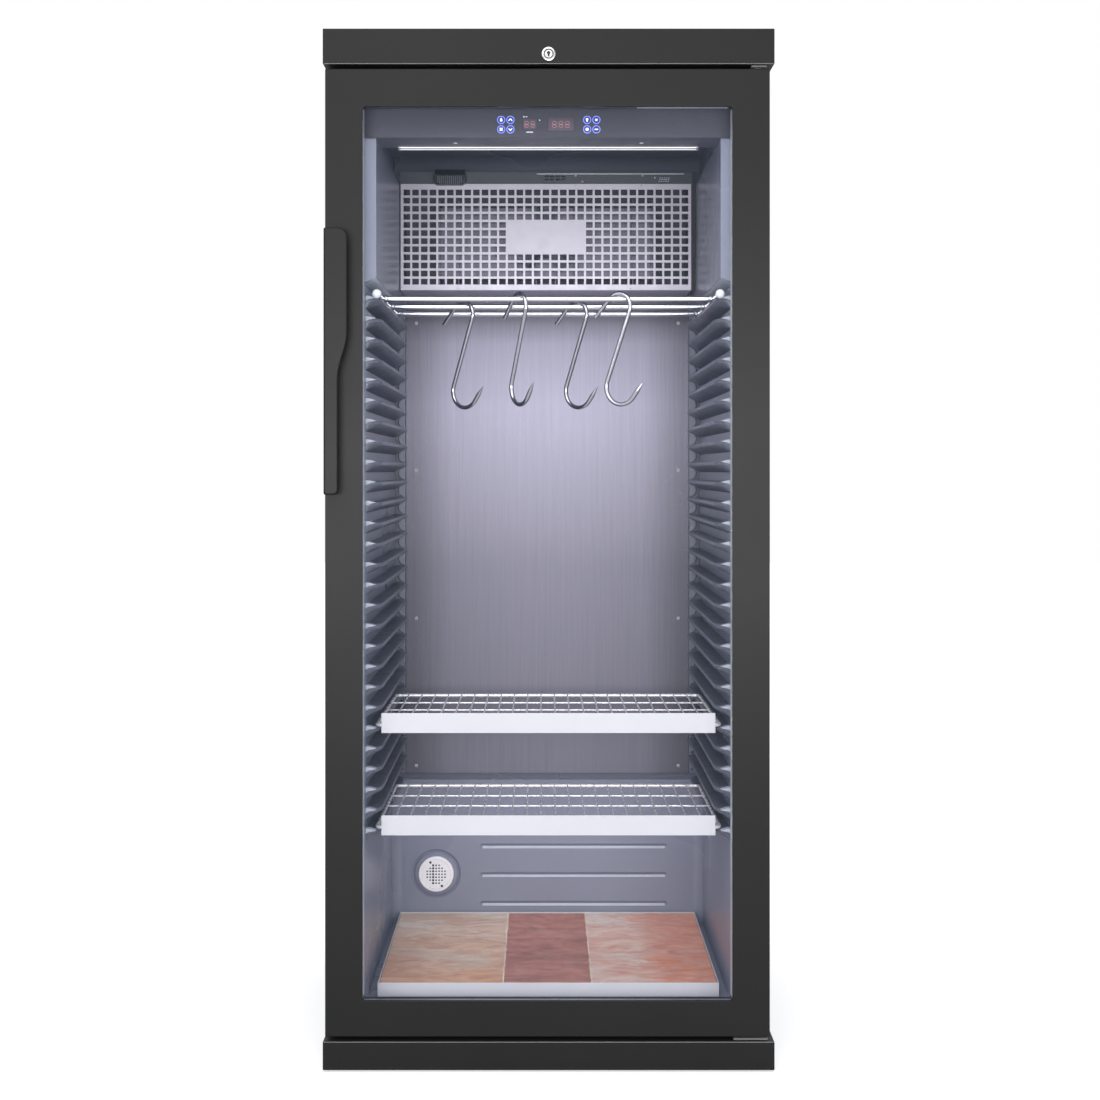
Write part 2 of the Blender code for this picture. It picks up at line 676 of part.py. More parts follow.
def base_plinth(root):
    """Folded base: a skirt round a pan that the body stands on and the feet screw into."""
    half = CAP_WIDTH / 2
    inner = half - CAP_SHEET
    seat = BODY_WIDTH / 2 + CLEAR
    plinth = piece("base_plinth", box((-half, half), (0, CAP_DEPTH), (PLINTH_LIFT, PLINTH_TOP)),
                   "charcoal_paint", root)
    bevel(plinth, CAP_SHEET)
    cut(plinth, box((-seat, seat), (BODY_FRONT - CLEAR, BODY_REAR + CLEAR),
                    (PAN_TOP, PLINTH_TOP + OVERRUN)), "seat")
    cut(plinth, box((-inner, inner), (CAP_SHEET, CAP_DEPTH - CAP_SHEET),
                    (PLINTH_LIFT - OVERRUN, PAN_BOTTOM)), "underside")
    bosses = bmesh.new()
    holes = bmesh.new()
    for x in (-FOOT_X, FOOT_X):
        for depth in (FOOT_FRONT, FOOT_REAR):
            add_cylinder(bosses, "Z", (x, at_depth(depth)), FOOT_BOSS_RADIUS, FOOT_BOSS_Z, PAN_BOTTOM + SINK / 2, 8)
            add_bore(holes, "Z", (x, at_depth(depth)), FOOT_STEM_RADIUS, FOOT_BOSS_Z - OVERRUN,
                     PLINTH_TOP + OVERRUN, 10)
    fuse(plinth, bosses, "foot_bosses")
    cut(plinth, holes, "foot_holes")
    return plinth


def side_panel(root, side):
    """Outer side sheet with its front edge folded inwards, behind the liner's flange."""
    outer = BODY_WIDTH / 2
    front = at_depth(BODY_FRONT + LINER_WALL + CLEAR)
    rear = at_depth(BODY_REAR - SHEET - CLEAR)
    outline = [(outer, front), (outer, rear), (outer - SHEET, rear), (outer - SHEET, front + SHEET),
               (outer - PANEL_RETURN, front + SHEET), (outer - PANEL_RETURN, front)]
    outline = [(side * x, y) for x, y in outline]
    name = "side_panel_left" if side < 0 else "side_panel_right"
    return piece(name, prism(outline, "Z", BODY_BOTTOM, BODY_TOP), "charcoal_paint", root)


def rear_panel(root):
    half = BODY_WIDTH / 2
    return piece("rear_panel", box((-half, half), (BODY_REAR - SHEET, BODY_REAR),
                                   (MACHINE_TOP + CLEAR, BODY_TOP)), "grey_steel", root)


def machine_cover(root):
    """Louvred sheet that closes the machine compartment at the rear."""
    half = BODY_WIDTH / 2
    cover = piece("machine_cover", box((-half, half), (BODY_REAR - SHEET, BODY_REAR),
                                       (BODY_BOTTOM, MACHINE_TOP)), "grey_steel", root)
    slots = bmesh.new()
    middle_z = (BODY_BOTTOM + MACHINE_TOP) / 2
    for column in range(LOUVRE_COLUMNS):
        x = (column - (LOUVRE_COLUMNS - 1) / 2) * LOUVRE_PITCH_X
        for row in range(LOUVRE_ROWS):
            z = middle_z + (row - (LOUVRE_ROWS - 1) / 2) * LOUVRE_PITCH_Z
            add_box(slots, (x - LOUVRE_WIDTH / 2, x + LOUVRE_WIDTH / 2),
                    (at_depth(BODY_REAR - SHEET - OVERRUN), at_depth(BODY_REAR + OVERRUN)),
                    (z - LOUVRE_HEIGHT / 2, z + LOUVRE_HEIGHT / 2))
    cut(cover, slots, "louvres")
    return cover


def rounding(corner, signs, radius, steps=4):
    """Outline of what a rounded corner takes off; signs point from the middle towards the corner."""
    centre = Vector((corner[0] - signs[0] * radius, corner[1] - signs[1] * radius))
    start = {(1, 1): 0, (-1, 1): 90, (-1, -1): 180, (1, -1): 270}[signs]
    edge = [Vector(p) for p in arc(centre, radius, start, start + 90, steps)]
    past = 1 + OVERRUN / radius
    far = Vector((corner[0] + signs[0] * OVERRUN, corner[1] + signs[1] * OVERRUN))
    return edge + [centre + (edge[-1] - centre) * past, far, centre + (edge[0] - centre) * past]


def chamber_core(name, grow, front):
    """The chamber's hollow, grown outwards by grow, from the depth front to its rear wall."""
    half = CHAMBER_WIDTH / 2
    core = tool(name, box((-half - grow, half + grow), (front, CHAMBER_REAR + grow),
                          (CHAMBER_FLOOR - grow, CHAMBER_CEILING + grow)))
    cut(core, box((-CHAMBER_WIDTH, CHAMBER_WIDTH), (LOWER_REAR + grow, CHAMBER_REAR + grow + OVERRUN),
                  (CHAMBER_FLOOR - grow - OVERRUN, LEDGE_Z - grow)), "ledge")
    ceiling_corner = (at_depth(CHAMBER_REAR + grow), CHAMBER_CEILING + grow)
    cut(core, prism(rounding(ceiling_corner, (1, 1), COVE_RADIUS + grow), "X", -CHAMBER_WIDTH, CHAMBER_WIDTH),
        "cove")
    for side, label in ((-1, "left"), (1, "right")):
        bulge_x = BULGE_WIDTH / 2 + grow
        outside = half + grow + OVERRUN
        outline = [(side * bulge_x, BULGE_BOTTOM + grow), (side * outside, BULGE_BOTTOM - BULGE_SLOPE + grow),
                   (side * outside, BULGE_TOP - grow), (side * bulge_x, BULGE_TOP - grow)]
        cut(core, prism(outline, "Y", at_depth(BULGE_FRONT + grow), at_depth(CHAMBER_REAR + grow + OVERRUN)),
            f"bulge_{label}")
        corner = (side * (half + grow), at_depth(LOWER_REAR + grow))
        cut(core, prism(rounding(corner, (side, 1), LOWER_CORNER_RADIUS + grow), "Z",
                        CHAMBER_FLOOR - grow - OVERRUN, LEDGE_Z - grow), f"corner_{label}")
    fuse(core, groove_solids(grow), "grooves")
    return core


def groove_solids(grow):
    """Three long grooves with round ends and a plain ring round the filter."""
    bm = bmesh.new()
    half = BEAD_LENGTH / 2 - BEAD_HEIGHT / 2
    radius = BEAD_HEIGHT / 2 + grow
    low = at_depth(LOWER_REAR - OVERRUN)
    high = at_depth(LOWER_REAR + BEAD_DEPTH + grow)
    for i in range(BEAD_COUNT):
        z = BEAD_TOP_Z - i * BEAD_PITCH
        outline = (arc((BEAD_CENTRE_X + half, z), radius, -90, 90, 3)
                   + arc((BEAD_CENTRE_X - half, z), radius, 90, 270, 3))
        add_prism(bm, outline, "Y", low, high)
    inner = RING_RADIUS - RING_HALF_WIDTH - grow
    outer = RING_RADIUS + RING_HALF_WIDTH + grow
    add_turned(bm, [(inner, low), (outer, low), (outer, high), (inner, high)], "Y", (FILTER_X, FILTER_Z), 20)
    return bm


def rib_solids():
    """All shelf ribs of both walls, each sunk slightly into its wall."""
    bm = bmesh.new()
    wall = CHAMBER_WIDTH / 2 + SINK
    edge = CHAMBER_WIDTH / 2 - RIB_REACH
    for side in (-1, 1):
        for i in range(RIB_COUNT):
            top = RIB_FIRST_TOP - i * RIB_PITCH
            below_ledge = top - RIB_ROOT < LEDGE_Z
            rear = LOWER_REAR - LOWER_CORNER_RADIUS - LINER_WALL if below_ledge else RIB_REAR
            corners = []
            for x, share, low in ((edge, 1, RIB_EDGE), (wall, 0, RIB_ROOT)):
                for y in (at_depth(RIB_FRONT + share * RIB_FRONT_TAPER), at_depth(rear - share * RIB_REAR_TAPER)):
                    for z in (top - low, top):
                        corners.append(bm.verts.new((side * x, y, z)))
            for face in ((0, 1, 3, 2), (4, 6, 7, 5), (0, 2, 6, 4), (1, 5, 7, 3), (0, 4, 5, 1), (2, 3, 7, 6)):
                bm.faces.new([corners[k] for k in face])
    return bm


def inner_liner(root):
    """One moulded liner: flange, chamber walls, shelf ribs, bulges, ledge and grooves."""
    half = BODY_WIDTH / 2 - CLEAR
    liner = piece("inner_liner", box((-half, half), (BODY_FRONT, BODY_FRONT + LINER_WALL),
                                     (PLINTH_TOP + CLEAR, CAP_BOTTOM - CLEAR)), "liner_plastic", root)
    fuse(liner, chamber_core("liner_outside", LINER_WALL, BODY_FRONT + SINK), "walls")
    cut(liner, chamber_core("liner_inside", 0, BODY_FRONT - OVERRUN), "chamber")
    fuse(liner, rib_solids(), "ribs")
    hole = bmesh.new()
    add_bore(hole, "Y", (FILTER_X, FILTER_Z), FILTER_NECK_RADIUS, at_depth(LOWER_REAR - OVERRUN),
             at_depth(LOWER_REAR + LINER_WALL + OVERRUN), 20)
    cut(liner, hole, "filter_hole")
    return liner


def insulation(root):
    """Foam between the outer sheets and the liner, with the machine compartment left out of it."""
    half = BODY_WIDTH / 2 - SHEET - CLEAR
    front = BODY_FRONT + LINER_WALL + CLEAR + SHEET + CLEAR
    foam = piece("insulation", box((-half, half), (front, BODY_REAR - SHEET - CLEAR),
                                   (BODY_BOTTOM, BODY_TOP)), "foam", root)
    cut(foam, chamber_core("foam_inside", LINER_WALL + CLEAR, BODY_FRONT - OVERRUN), "chamber")
    cut(foam, box((-BODY_WIDTH, BODY_WIDTH), (MACHINE_FRONT, CAP_DEPTH + OVERRUN),
                  (PLINTH_LIFT, MACHINE_TOP)), "machine_space")
    hole = bmesh.new()
    add_bore(hole, "Y", (FILTER_X, FILTER_Z), FILTER_NECK_RADIUS, at_depth(LOWER_REAR - OVERRUN),
             at_depth(MACHINE_FRONT + OVERRUN), 20)
    cut(foam, hole, "filter_duct")
    return foam


# Door

def door_frame(door):
    frame = piece("door_frame", box((DOOR_LEFT, DOOR_RIGHT), (DOOR_FRONT, DOOR_BACK),
                                    (DOOR_BOTTOM, DOOR_TOP)), "door_paint", door)
    bevel(frame, DOOR_EDGE_BEVEL)
    corners = []
    for x, z, start in ((WINDOW_RIGHT - WINDOW_RADIUS, WINDOW_TOP - WINDOW_RADIUS, 0),
                        (WINDOW_LEFT + WINDOW_RADIUS, WINDOW_TOP - WINDOW_RADIUS, 90),
                        (WINDOW_LEFT + WINDOW_RADIUS, WINDOW_BOTTOM + WINDOW_RADIUS, 180),
                        (WINDOW_RIGHT - WINDOW_RADIUS, WINDOW_BOTTOM + WINDOW_RADIUS, 270)):
        corners += arc((x, z), WINDOW_RADIUS, start, start + 90, 3)
    cut(frame, prism(corners, "Y", at_depth(DOOR_FRONT - OVERRUN), at_depth(DOOR_BACK + OVERRUN)), "window")
    cut(frame, box((WINDOW_LEFT - REBATE, WINDOW_RIGHT + REBATE), (DOOR_FRONT + LIP_THICK, DOOR_BACK + OVERRUN),
                   (WINDOW_BOTTOM - REBATE, WINDOW_TOP + REBATE)), "rebate")
    bores = bmesh.new()
    pin_place = (PIVOT_X, at_depth(PIVOT_DEPTH))
    add_bore(bores, "Z", pin_place, PIN_RADIUS, DOOR_TOP - PIN_REACH - CLEAR, DOOR_TOP + OVERRUN, 16)
    add_bore(bores, "Z", pin_place, PIN_RADIUS, DOOR_BOTTOM - OVERRUN, DOOR_BOTTOM + PIN_REACH + CLEAR, 16)
    cut(frame, bores, "pin_bores")
    cut(frame, box((-SLOT_LEFT, SLOT_RIGHT), (LOCK_TAIL_DEPTH - SLOT_HALF, LOCK_TAIL_DEPTH + SLOT_HALF),
                   (DOOR_TOP - SLOT_DEPTH, DOOR_TOP + OVERRUN)), "cam_slot")
    return frame


def strike_plate(door):
    """Thin plate round the slot in the door's top edge that the lock's cam drops into."""
    outer = ((-SLOT_LEFT - STRIKE_MARGIN, SLOT_RIGHT + STRIKE_MARGIN),
             (LOCK_TAIL_DEPTH - SLOT_HALF - STRIKE_MARGIN, LOCK_TAIL_DEPTH + SLOT_HALF + STRIKE_MARGIN))
    low = DOOR_TOP + CLEAR
    plate = piece("strike_plate", box(*outer, (low, low + STRIKE_THICK)), "stainless", door)
    cut(plate, box((-SLOT_LEFT, SLOT_RIGHT), (LOCK_TAIL_DEPTH - SLOT_HALF, LOCK_TAIL_DEPTH + SLOT_HALF),
                   (low - OVERRUN, low + OVERRUN)), "slot")
    return plate


def glass_unit(door):
    """Outer pane, spacer and inner pane, held in the frame's rebate."""
    play = REBATE - CLEAR
    x = (WINDOW_LEFT - play, WINDOW_RIGHT + play)
    z = (WINDOW_BOTTOM - play, WINDOW_TOP + play)
    outer_front = DOOR_FRONT + LIP_THICK + CLEAR
    piece("outer_pane", box(x, (outer_front, outer_front + PANE), z), "glass", door)
    spacer_front = outer_front + PANE + CLEAR
    spacer_rear = spacer_front + SPACER_DEPTH
    inside = ((x[0] + SPACER_WIDTH, x[1] - SPACER_WIDTH), (z[0] + SPACER_WIDTH, z[1] - SPACER_WIDTH))
    piece("glass_spacer", ring_prism((x, z), inside, at_depth(spacer_front), at_depth(spacer_rear)),
          "aluminium", door)
    inner_front = spacer_rear + CLEAR
    piece("inner_pane", box(x, (inner_front, inner_front + PANE), z), "glass", door)
    return x, z, inner_front + PANE


def inner_frame(door, x, z, pane_rear):
    """Retaining frame that holds the glass unit in from behind."""
    edge = INNER_FRAME_SETBACK
    inside = ((WINDOW_LEFT - edge, WINDOW_RIGHT + edge), (WINDOW_BOTTOM - edge, WINDOW_TOP + edge))
    return piece("door_inner_frame",
                 ring_prism((x, z), inside, at_depth(pane_rear + CLEAR), at_depth(DOOR_BACK)),
                 "fascia_plastic", door)


def door_gasket(door):
    """Magnetic gasket: a foot on the door and a narrower bulb that meets the liner's flange."""
    foot_front = at_depth(DOOR_BACK + CLEAR)
    foot_rear = foot_front + GASKET_FOOT
    face = at_depth(BODY_FRONT - CLEAR)

    def loop(reach):
        offset = GASKET_OFFSET + reach
        return (WINDOW_LEFT - offset, WINDOW_RIGHT + offset), (WINDOW_BOTTOM - offset, WINDOW_TOP + offset)

    gasket = piece("door_gasket", ring_prism(loop(GASKET_BASE / 2), loop(-GASKET_BASE / 2), foot_front, foot_rear),
                   "black_rubber", door)
    fuse(gasket, ring_prism(loop(GASKET_BULB / 2), loop(-GASKET_BULB / 2), foot_rear - SINK, face), "bulb")
    return gasket


def handle_outline():
    """Front view of the grip: wide above, narrow below, joined by an S-bend on its right edge."""
    left = HANDLE_LEFT
    wide = left + HANDLE_WIDE
    narrow = left + HANDLE_NARROW
    outline = [(left, HANDLE_BOTTOM), (left, HANDLE_TOP)]
    outline += arc((wide - HANDLE_TOP_RADIUS, HANDLE_TOP - HANDLE_TOP_RADIUS), HANDLE_TOP_RADIUS, 90, 0, 5)
    steps = 8
    for i in range(steps + 1):
        share = i / steps
        ease = (1 - math.cos(math.pi * share)) / 2
        outline.append((wide + (narrow - wide) * ease,
                        HANDLE_BEND_TOP + (HANDLE_BEND_BOTTOM - HANDLE_BEND_TOP) * share))
    outline += arc((narrow - HANDLE_BOTTOM_RADIUS, HANDLE_BOTTOM + HANDLE_BOTTOM_RADIUS),
                   HANDLE_BOTTOM_RADIUS, 0, -90, 4)
    return outline


def door_handle(door):
    """Pull handle: a blade that stands off the door, on a spine along its left edge."""
    front = -HANDLE_PROUD
    blade_rear = front + HANDLE_THICK
    handle = piece("door_handle", prism(handle_outline(), "Y", at_depth(front), at_depth(blade_rear)),
                   "door_paint", door, smooth_deg=35)
    bevel(handle, HANDLE_BEVEL, segments=2, angle_deg=60)
    fuse(handle, box((HANDLE_LEFT, HANDLE_LEFT + HANDLE_SPINE), (blade_rear - SINK, DOOR_FRONT - CLEAR),
                     (HANDLE_BOTTOM + HANDLE_BEVEL, HANDLE_TOP - HANDLE_BEVEL)), "spine")
    return handle


# Hinges and lock

def hinge_bracket(root, name, x, plate_low, collar_low, collar_high, pin_low, pin_high):
    """A plate, the collar that the door turns against, and its pin."""
    bracket = piece(name, box(x, (HINGE_PLATE_FRONT, BODY_FRONT - CLEAR), (plate_low, plate_low + HINGE_PLATE)),
                    "stainless", root)
    place = (PIVOT_X, at_depth(PIVOT_DEPTH))
    collar = bmesh.new()
    add_cylinder(collar, "Z", place, COLLAR_RADIUS, collar_low, collar_high, 20)
    fuse(bracket, collar, "collar")
    pin = bmesh.new()
    add_cylinder(pin, "Z", place, PIN_RADIUS, pin_low, pin_high, 16)
    fuse(bracket, pin, "pin")
    return bracket


def hinge_brackets(root):
    upper_plate = CAP_BOTTOM - CLEAR - HINGE_PLATE
    hinge_bracket(root, "upper_hinge_bracket", (PIVOT_X - UPPER_PLATE_HALF, PIVOT_X + UPPER_PLATE_HALF),
                  upper_plate, DOOR_TOP + CLEAR, upper_plate + SINK, DOOR_TOP - PIN_REACH, upper_plate + SINK)
    lower_plate = PLINTH_TOP + CLEAR
    lower_top = lower_plate + HINGE_PLATE
    hinge_bracket(root, "lower_hinge_bracket", (PIVOT_X - LOWER_PLATE_LEFT, PIVOT_X + LOWER_PLATE_RIGHT),
                  lower_plate, lower_top - SINK, DOOR_BOTTOM - CLEAR, lower_top - SINK, DOOR_BOTTOM + PIN_REACH)


def lock(root):
    """Cam lock: a fixed housing in the cap, and the plug and cam that turn together."""
    place = (0, LOCK_Z)
    bore = bore_radius(LOCK_PLUG_RADIUS, 16)
    head_front = at_depth(-LOCK_HEAD_PROUD)
    head_rear = at_depth(-CLEAR)
    profile = [(bore, head_front), (LOCK_HEAD_RADIUS - FILTER_STEP, head_front),
               (LOCK_HEAD_RADIUS, head_front + FILTER_STEP), (LOCK_HEAD_RADIUS, head_rear),
               (LOCK_BODY_RADIUS, head_rear), (LOCK_BODY_RADIUS, at_depth(LOCK_DEPTH)),
               (bore, at_depth(LOCK_DEPTH))]
    piece("lock_housing", turned(profile, "Y", place, 16), "chrome", root, smooth_deg=35)
    turning = body("lock_turning", (0, at_depth(0), LOCK_Z))
    plug_bm = turned([(0, head_front), (LOCK_PLUG_RADIUS, head_front),
                      (LOCK_PLUG_RADIUS, at_depth(LOCK_DEPTH)), (LOCK_TAIL_RADIUS, at_depth(LOCK_DEPTH)),
                      (LOCK_TAIL_RADIUS, at_depth(LOCK_DEPTH + LOCK_TAIL)), (0, at_depth(LOCK_DEPTH + LOCK_TAIL))],
                     "Y", place, 16)
    plug = piece("lock_plug", plug_bm, "chrome", turning, smooth_deg=35)
    cut(plug, box((-KEYWAY_WIDTH / 2, KEYWAY_WIDTH / 2), (-LOCK_HEAD_PROUD - OVERRUN, KEYWAY_DEPTH),
                  (LOCK_Z - KEYWAY_HEIGHT / 2, LOCK_Z + KEYWAY_HEIGHT / 2)), "keyway")
    half = CAM_WIDTH / 2
    reach = CAM_LENGTH - half
    cam_outline = arc((0, LOCK_Z), half, -90, 90, 6) + arc((-reach, LOCK_Z), half, 90, 270, 6)
    cam_front = LOCK_DEPTH + CLEAR
    cam = piece("lock_cam", prism(cam_outline, "Y", at_depth(cam_front), at_depth(cam_front + CAM_THICK)),
                "stainless", turning)
    hole = bmesh.new()
    add_cylinder(hole, "Y", place, LOCK_TAIL_RADIUS + CLEAR, at_depth(cam_front - OVERRUN),
                 at_depth(cam_front + CAM_THICK + OVERRUN), 16)
    cut(cam, hole, "hole")


# Controls and light

def key_places():
    """Centres of the eight touch keys, in two groups of two by two."""
    places = []
    for middle in (KEYS_LEFT_X, KEYS_RIGHT_X):
        for column in (-1, 1):
            for row in (0, 1):
                places.append((middle + column * KEY_PITCH_X / 2,
                               BULGE_TOP + KEY_RISE + (row - 1 / 2) * KEY_PITCH_Z))
    return places


def display_places():
    """Outline of each display: (x pair, z pair)."""
    places = []
    middle_z = BULGE_TOP + DISPLAY_RISE
    for x, width, height in ((SMALL_DISPLAY_X, SMALL_DISPLAY_WIDTH, SMALL_DISPLAY_HEIGHT),
                             (LARGE_DISPLAY_X, LARGE_DISPLAY_WIDTH, LARGE_DISPLAY_HEIGHT)):
        places.append(((x - width / 2, x + width / 2), (middle_z - height / 2, middle_z + height / 2)))
    return places


def control_fascia(root):
    """Folded cover behind the top of the glass: front plate, underside and rear lip in one."""
    front = BODY_FRONT + FASCIA_SETBACK
    half = CHAMBER_WIDTH / 2 - CLEAR
    low = BULGE_TOP + CLEAR
    high = CHAMBER_CEILING - CLEAR
    rear = front + FASCIA_BAND
    y = [at_depth(d) for d in (front, front + FASCIA_THICK, rear - FASCIA_THICK, rear)]
    outline = [(y[0], low), (y[3], low), (y[3], low + FASCIA_LIP), (y[2], low + FASCIA_LIP),
               (y[2], low + FASCIA_THICK), (y[1], low + FASCIA_THICK), (y[1], high), (y[0], high)]
    fascia = piece("control_fascia", prism(outline, "X", -half, half), "fascia_plastic", root)
    holes = bmesh.new()
    for place in key_places():
        add_cylinder(holes, "Y", place, KEY_RADIUS + CLEAR, y[0] - OVERRUN, y[1] + OVERRUN, 12)
    for x_pair, z_pair in display_places():
        add_box(holes, (x_pair[0] - CLEAR, x_pair[1] + CLEAR), (y[0] - OVERRUN, y[1] + OVERRUN),
                (z_pair[0] - CLEAR, z_pair[1] + CLEAR))
    cut(fascia, holes, "windows")
    return fascia


def control_module(root):
    """Controller behind the fascia, whose keys and displays come flush with the fascia's face."""
    front = BODY_FRONT + FASCIA_SETBACK
    board_front = front + FASCIA_THICK + CLEAR
    low = BULGE_TOP + FASCIA_THICK + CLEAR
    module = piece("control_module", box((-MODULE_HALF, MODULE_HALF), (board_front, board_front + MODULE_THICK),
                                         (low, low + MODULE_HEIGHT)), "display_plastic", root)
    raised = bmesh.new()
    for place in key_places():
        add_cylinder(raised, "Y", place, KEY_RADIUS, at_depth(front), at_depth(board_front + SINK), 12)
    for x_pair, z_pair in display_places():
        add_box(raised, x_pair, (at_depth(front), at_depth(board_front + SINK)), z_pair)
    fuse(module, raised, "faces")
    return module


def light_bar(root):
    """Light bar under the rear edge of the fascia, with a chamfered diffuser."""
    rear = at_depth(BODY_FRONT + FASCIA_SETBACK + FASCIA_BAND)
    front = rear - LIGHT_DEPTH
    chamfer = LIGHT_HEIGHT / 3
    high = BULGE_TOP
    low = high - LIGHT_HEIGHT
    outline = [(front + chamfer, low), (rear - chamfer, low), (rear, low + chamfer), (rear, high), (front, high),
               (front, low + chamfer)]
    half = LIGHT_LENGTH / 2
    return piece("light_bar", prism(outline, "X", -half, half), "light_diffuser", root)


# Evaporator

def evaporator_housing(root):
    """Open box round the coil, with a slotted strip above the fan cover."""
    half = EVAP_WIDTH / 2
    inner = half - EVAP_WALL
    rear = CHAMBER_REAR - CLEAR
    outside = (EVAP_X - half, EVAP_X + half)
    inside = (EVAP_X - inner, EVAP_X + inner)
    housing = piece("evaporator_housing", box(outside, (EVAP_FRONT, rear), (EVAP_BOTTOM, EVAP_TOP)),
                    "cover_paint", root)
    cut(housing, box(inside, (EVAP_FRONT - OVERRUN, rear - EVAP_WALL),
                     (EVAP_BOTTOM - OVERRUN, EVAP_STRIP_BOTTOM)), "fan_space")
    cut(housing, box(inside, (EVAP_FRONT + STRIP_THICK, rear - EVAP_WALL),
                     (EVAP_STRIP_BOTTOM - SINK, EVAP_TOP - EVAP_WALL)), "strip_space")
    slots = bmesh.new()
    strip_middle = (EVAP_STRIP_BOTTOM + EVAP_TOP) / 2
    for column in range(VENT_SLOTS):
        x = VENT_X + (column - (VENT_SLOTS - 1) / 2) * VENT_PITCH_X
        for row in range(VENT_ROWS):
            z = strip_middle + (row - (VENT_ROWS - 1) / 2) * VENT_PITCH_Z
            add_box(slots, (x - VENT_WIDTH / 2, x + VENT_WIDTH / 2),
                    (at_depth(EVAP_FRONT - OVERRUN), at_depth(EVAP_FRONT + STRIP_THICK + OVERRUN)),
                    (z - VENT_HEIGHT / 2, z + VENT_HEIGHT / 2))
    cut(housing, slots, "slots")
    return housing


def grid_lines(middle, count, pitch, hole, low, high):
    """Edges of a row of holes, from the plate's low edge to its high edge."""
    lines = [low]
    for i in range(count):
        centre = middle + (i - (count - 1) / 2) * pitch
        lines += [centre - hole / 2, centre + hole / 2]
    return lines + [high]


def merge_cells(bm, cells, columns, rows):
    """Join a block of the plate's cells into one face and drop the points it no longer needs."""
    block = [cells[i, j] for i in columns for j in rows]
    bmesh.ops.dissolve_faces(bm, faces=block, use_verts=True)


def fan_cover(root):
    """Perforated plate in front of the evaporator, with a bottom flange that runs back to the wall."""
    half = EVAP_WIDTH / 2 - EVAP_WALL - CLEAR
    low = EVAP_BOTTOM
    high = EVAP_STRIP_BOTTOM - CLEAR
    x_lines = grid_lines(EVAP_X, HOLE_COLUMNS, HOLE_PITCH_X, HOLE_WIDTH, EVAP_X - half, EVAP_X + half)
    z_lines = grid_lines((low + high) / 2, HOLE_ROWS, HOLE_PITCH_Z, HOLE_HEIGHT, low, high)
    blank_x = (HOLE_COLUMNS - BLANK_COLUMNS) // 2
    blank_z = (HOLE_ROWS - BLANK_ROWS) // 2
    front = at_depth(EVAP_FRONT)
    bm = bmesh.new()
    verts = {}
    cells = {}
    for i, x in enumerate(x_lines):
        for j, z in enumerate(z_lines):
            verts[i, j] = bm.verts.new((x, front, z))
    for i in range(len(x_lines) - 1):
        for j in range(len(z_lines) - 1):
            column, row = i // 2, j // 2
            blank = (blank_x <= column < blank_x + BLANK_COLUMNS) and (blank_z <= row < blank_z + BLANK_ROWS)
            hole = i % 2 == 1 and j % 2 == 1
            if not hole or blank:
                cells[i, j] = bm.faces.new((verts[i, j], verts[i + 1, j], verts[i + 1, j + 1], verts[i, j + 1]))
    last_i, last_j = len(x_lines) - 2, len(z_lines) - 2
    blank_i = range(2 * blank_x + 1, 2 * (blank_x + BLANK_COLUMNS))
    blank_j = range(2 * blank_z + 1, 2 * (blank_z + BLANK_ROWS))
    merge_cells(bm, cells, range(1), range(last_j + 1))
    merge_cells(bm, cells, range(last_i, last_i + 1), range(last_j + 1))
    merge_cells(bm, cells, range(1, last_i), range(1))
    merge_cells(bm, cells, range(1, last_i), range(last_j, last_j + 1))
    merge_cells(bm, cells, blank_i, blank_j)
    loose = [vert for vert in bm.verts if not vert.link_faces]
    bmesh.ops.delete(bm, geom=loose, context="VERTS")
    made = bmesh.ops.extrude_face_region(bm, geom=list(bm.faces))
    moved = [item for item in made["geom"] if isinstance(item, bmesh.types.BMVert)]
    bmesh.ops.translate(bm, verts=moved, vec=(0, COVER_SHEET, 0))
    cover = piece("fan_cover", bm, "cover_paint", root)
    fuse(cover, box((EVAP_X - half, EVAP_X + half), (EVAP_FRONT + COVER_SHEET / 2,
                                    CHAMBER_REAR - EVAP_WALL - 2 * CLEAR), (low, low + COVER_SHEET)), "flange")
    return cover


def fin_block(name, root, x, depth, z, fins, fin, inset):
    """Finned heat exchanger: a tube core crossed by thin plates."""
    y = (at_depth(depth[0]), at_depth(depth[1]))
    core = bmesh.new()
    add_box(core, x, (y[0] + inset, y[1] - inset), (z[0] + inset, z[1] - inset))
    block = piece(name, core, "aluminium", root)
    plates = bmesh.new()
    for i in range(fins):
        middle = x[0] + fin + (x[1] - x[0] - 2 * fin) * i / (fins - 1)
        add_box(plates, (middle - fin / 2, middle + fin / 2), y, z)
    fuse(block, plates, "fins")
    return block


def add_blades(bm, place, radius, hub, middle):
    """Flat pitched blades, wider at the tip, rooted in a hub whose axis runs along Y."""
    root_half = hub * FAN_ROOT_CHORD
    tip_half = hub * FAN_TIP_CHORD
    outline = [(-root_half, hub - SINK), (root_half, hub - SINK), (tip_half, radius - FAN_BLADE), (0, radius),
               (-tip_half, radius - FAN_BLADE)]
    pitch = Matrix.Rotation(math.radians(FAN_PITCH_DEG), 4, "Z")
    for i in range(FAN_BLADES):
        old = set(bm.verts)
        add_prism(bm, outline, "Y", -FAN_BLADE / 2, FAN_BLADE / 2)
        fresh = [vert for vert in bm.verts if vert not in old]
        turn = Matrix.Rotation(math.tau * i / FAN_BLADES, 4, "Y")
        place_at = Matrix.Translation((place[0], middle, place[1]))
        bmesh.ops.transform(bm, verts=fresh, matrix=place_at @ turn @ pitch)


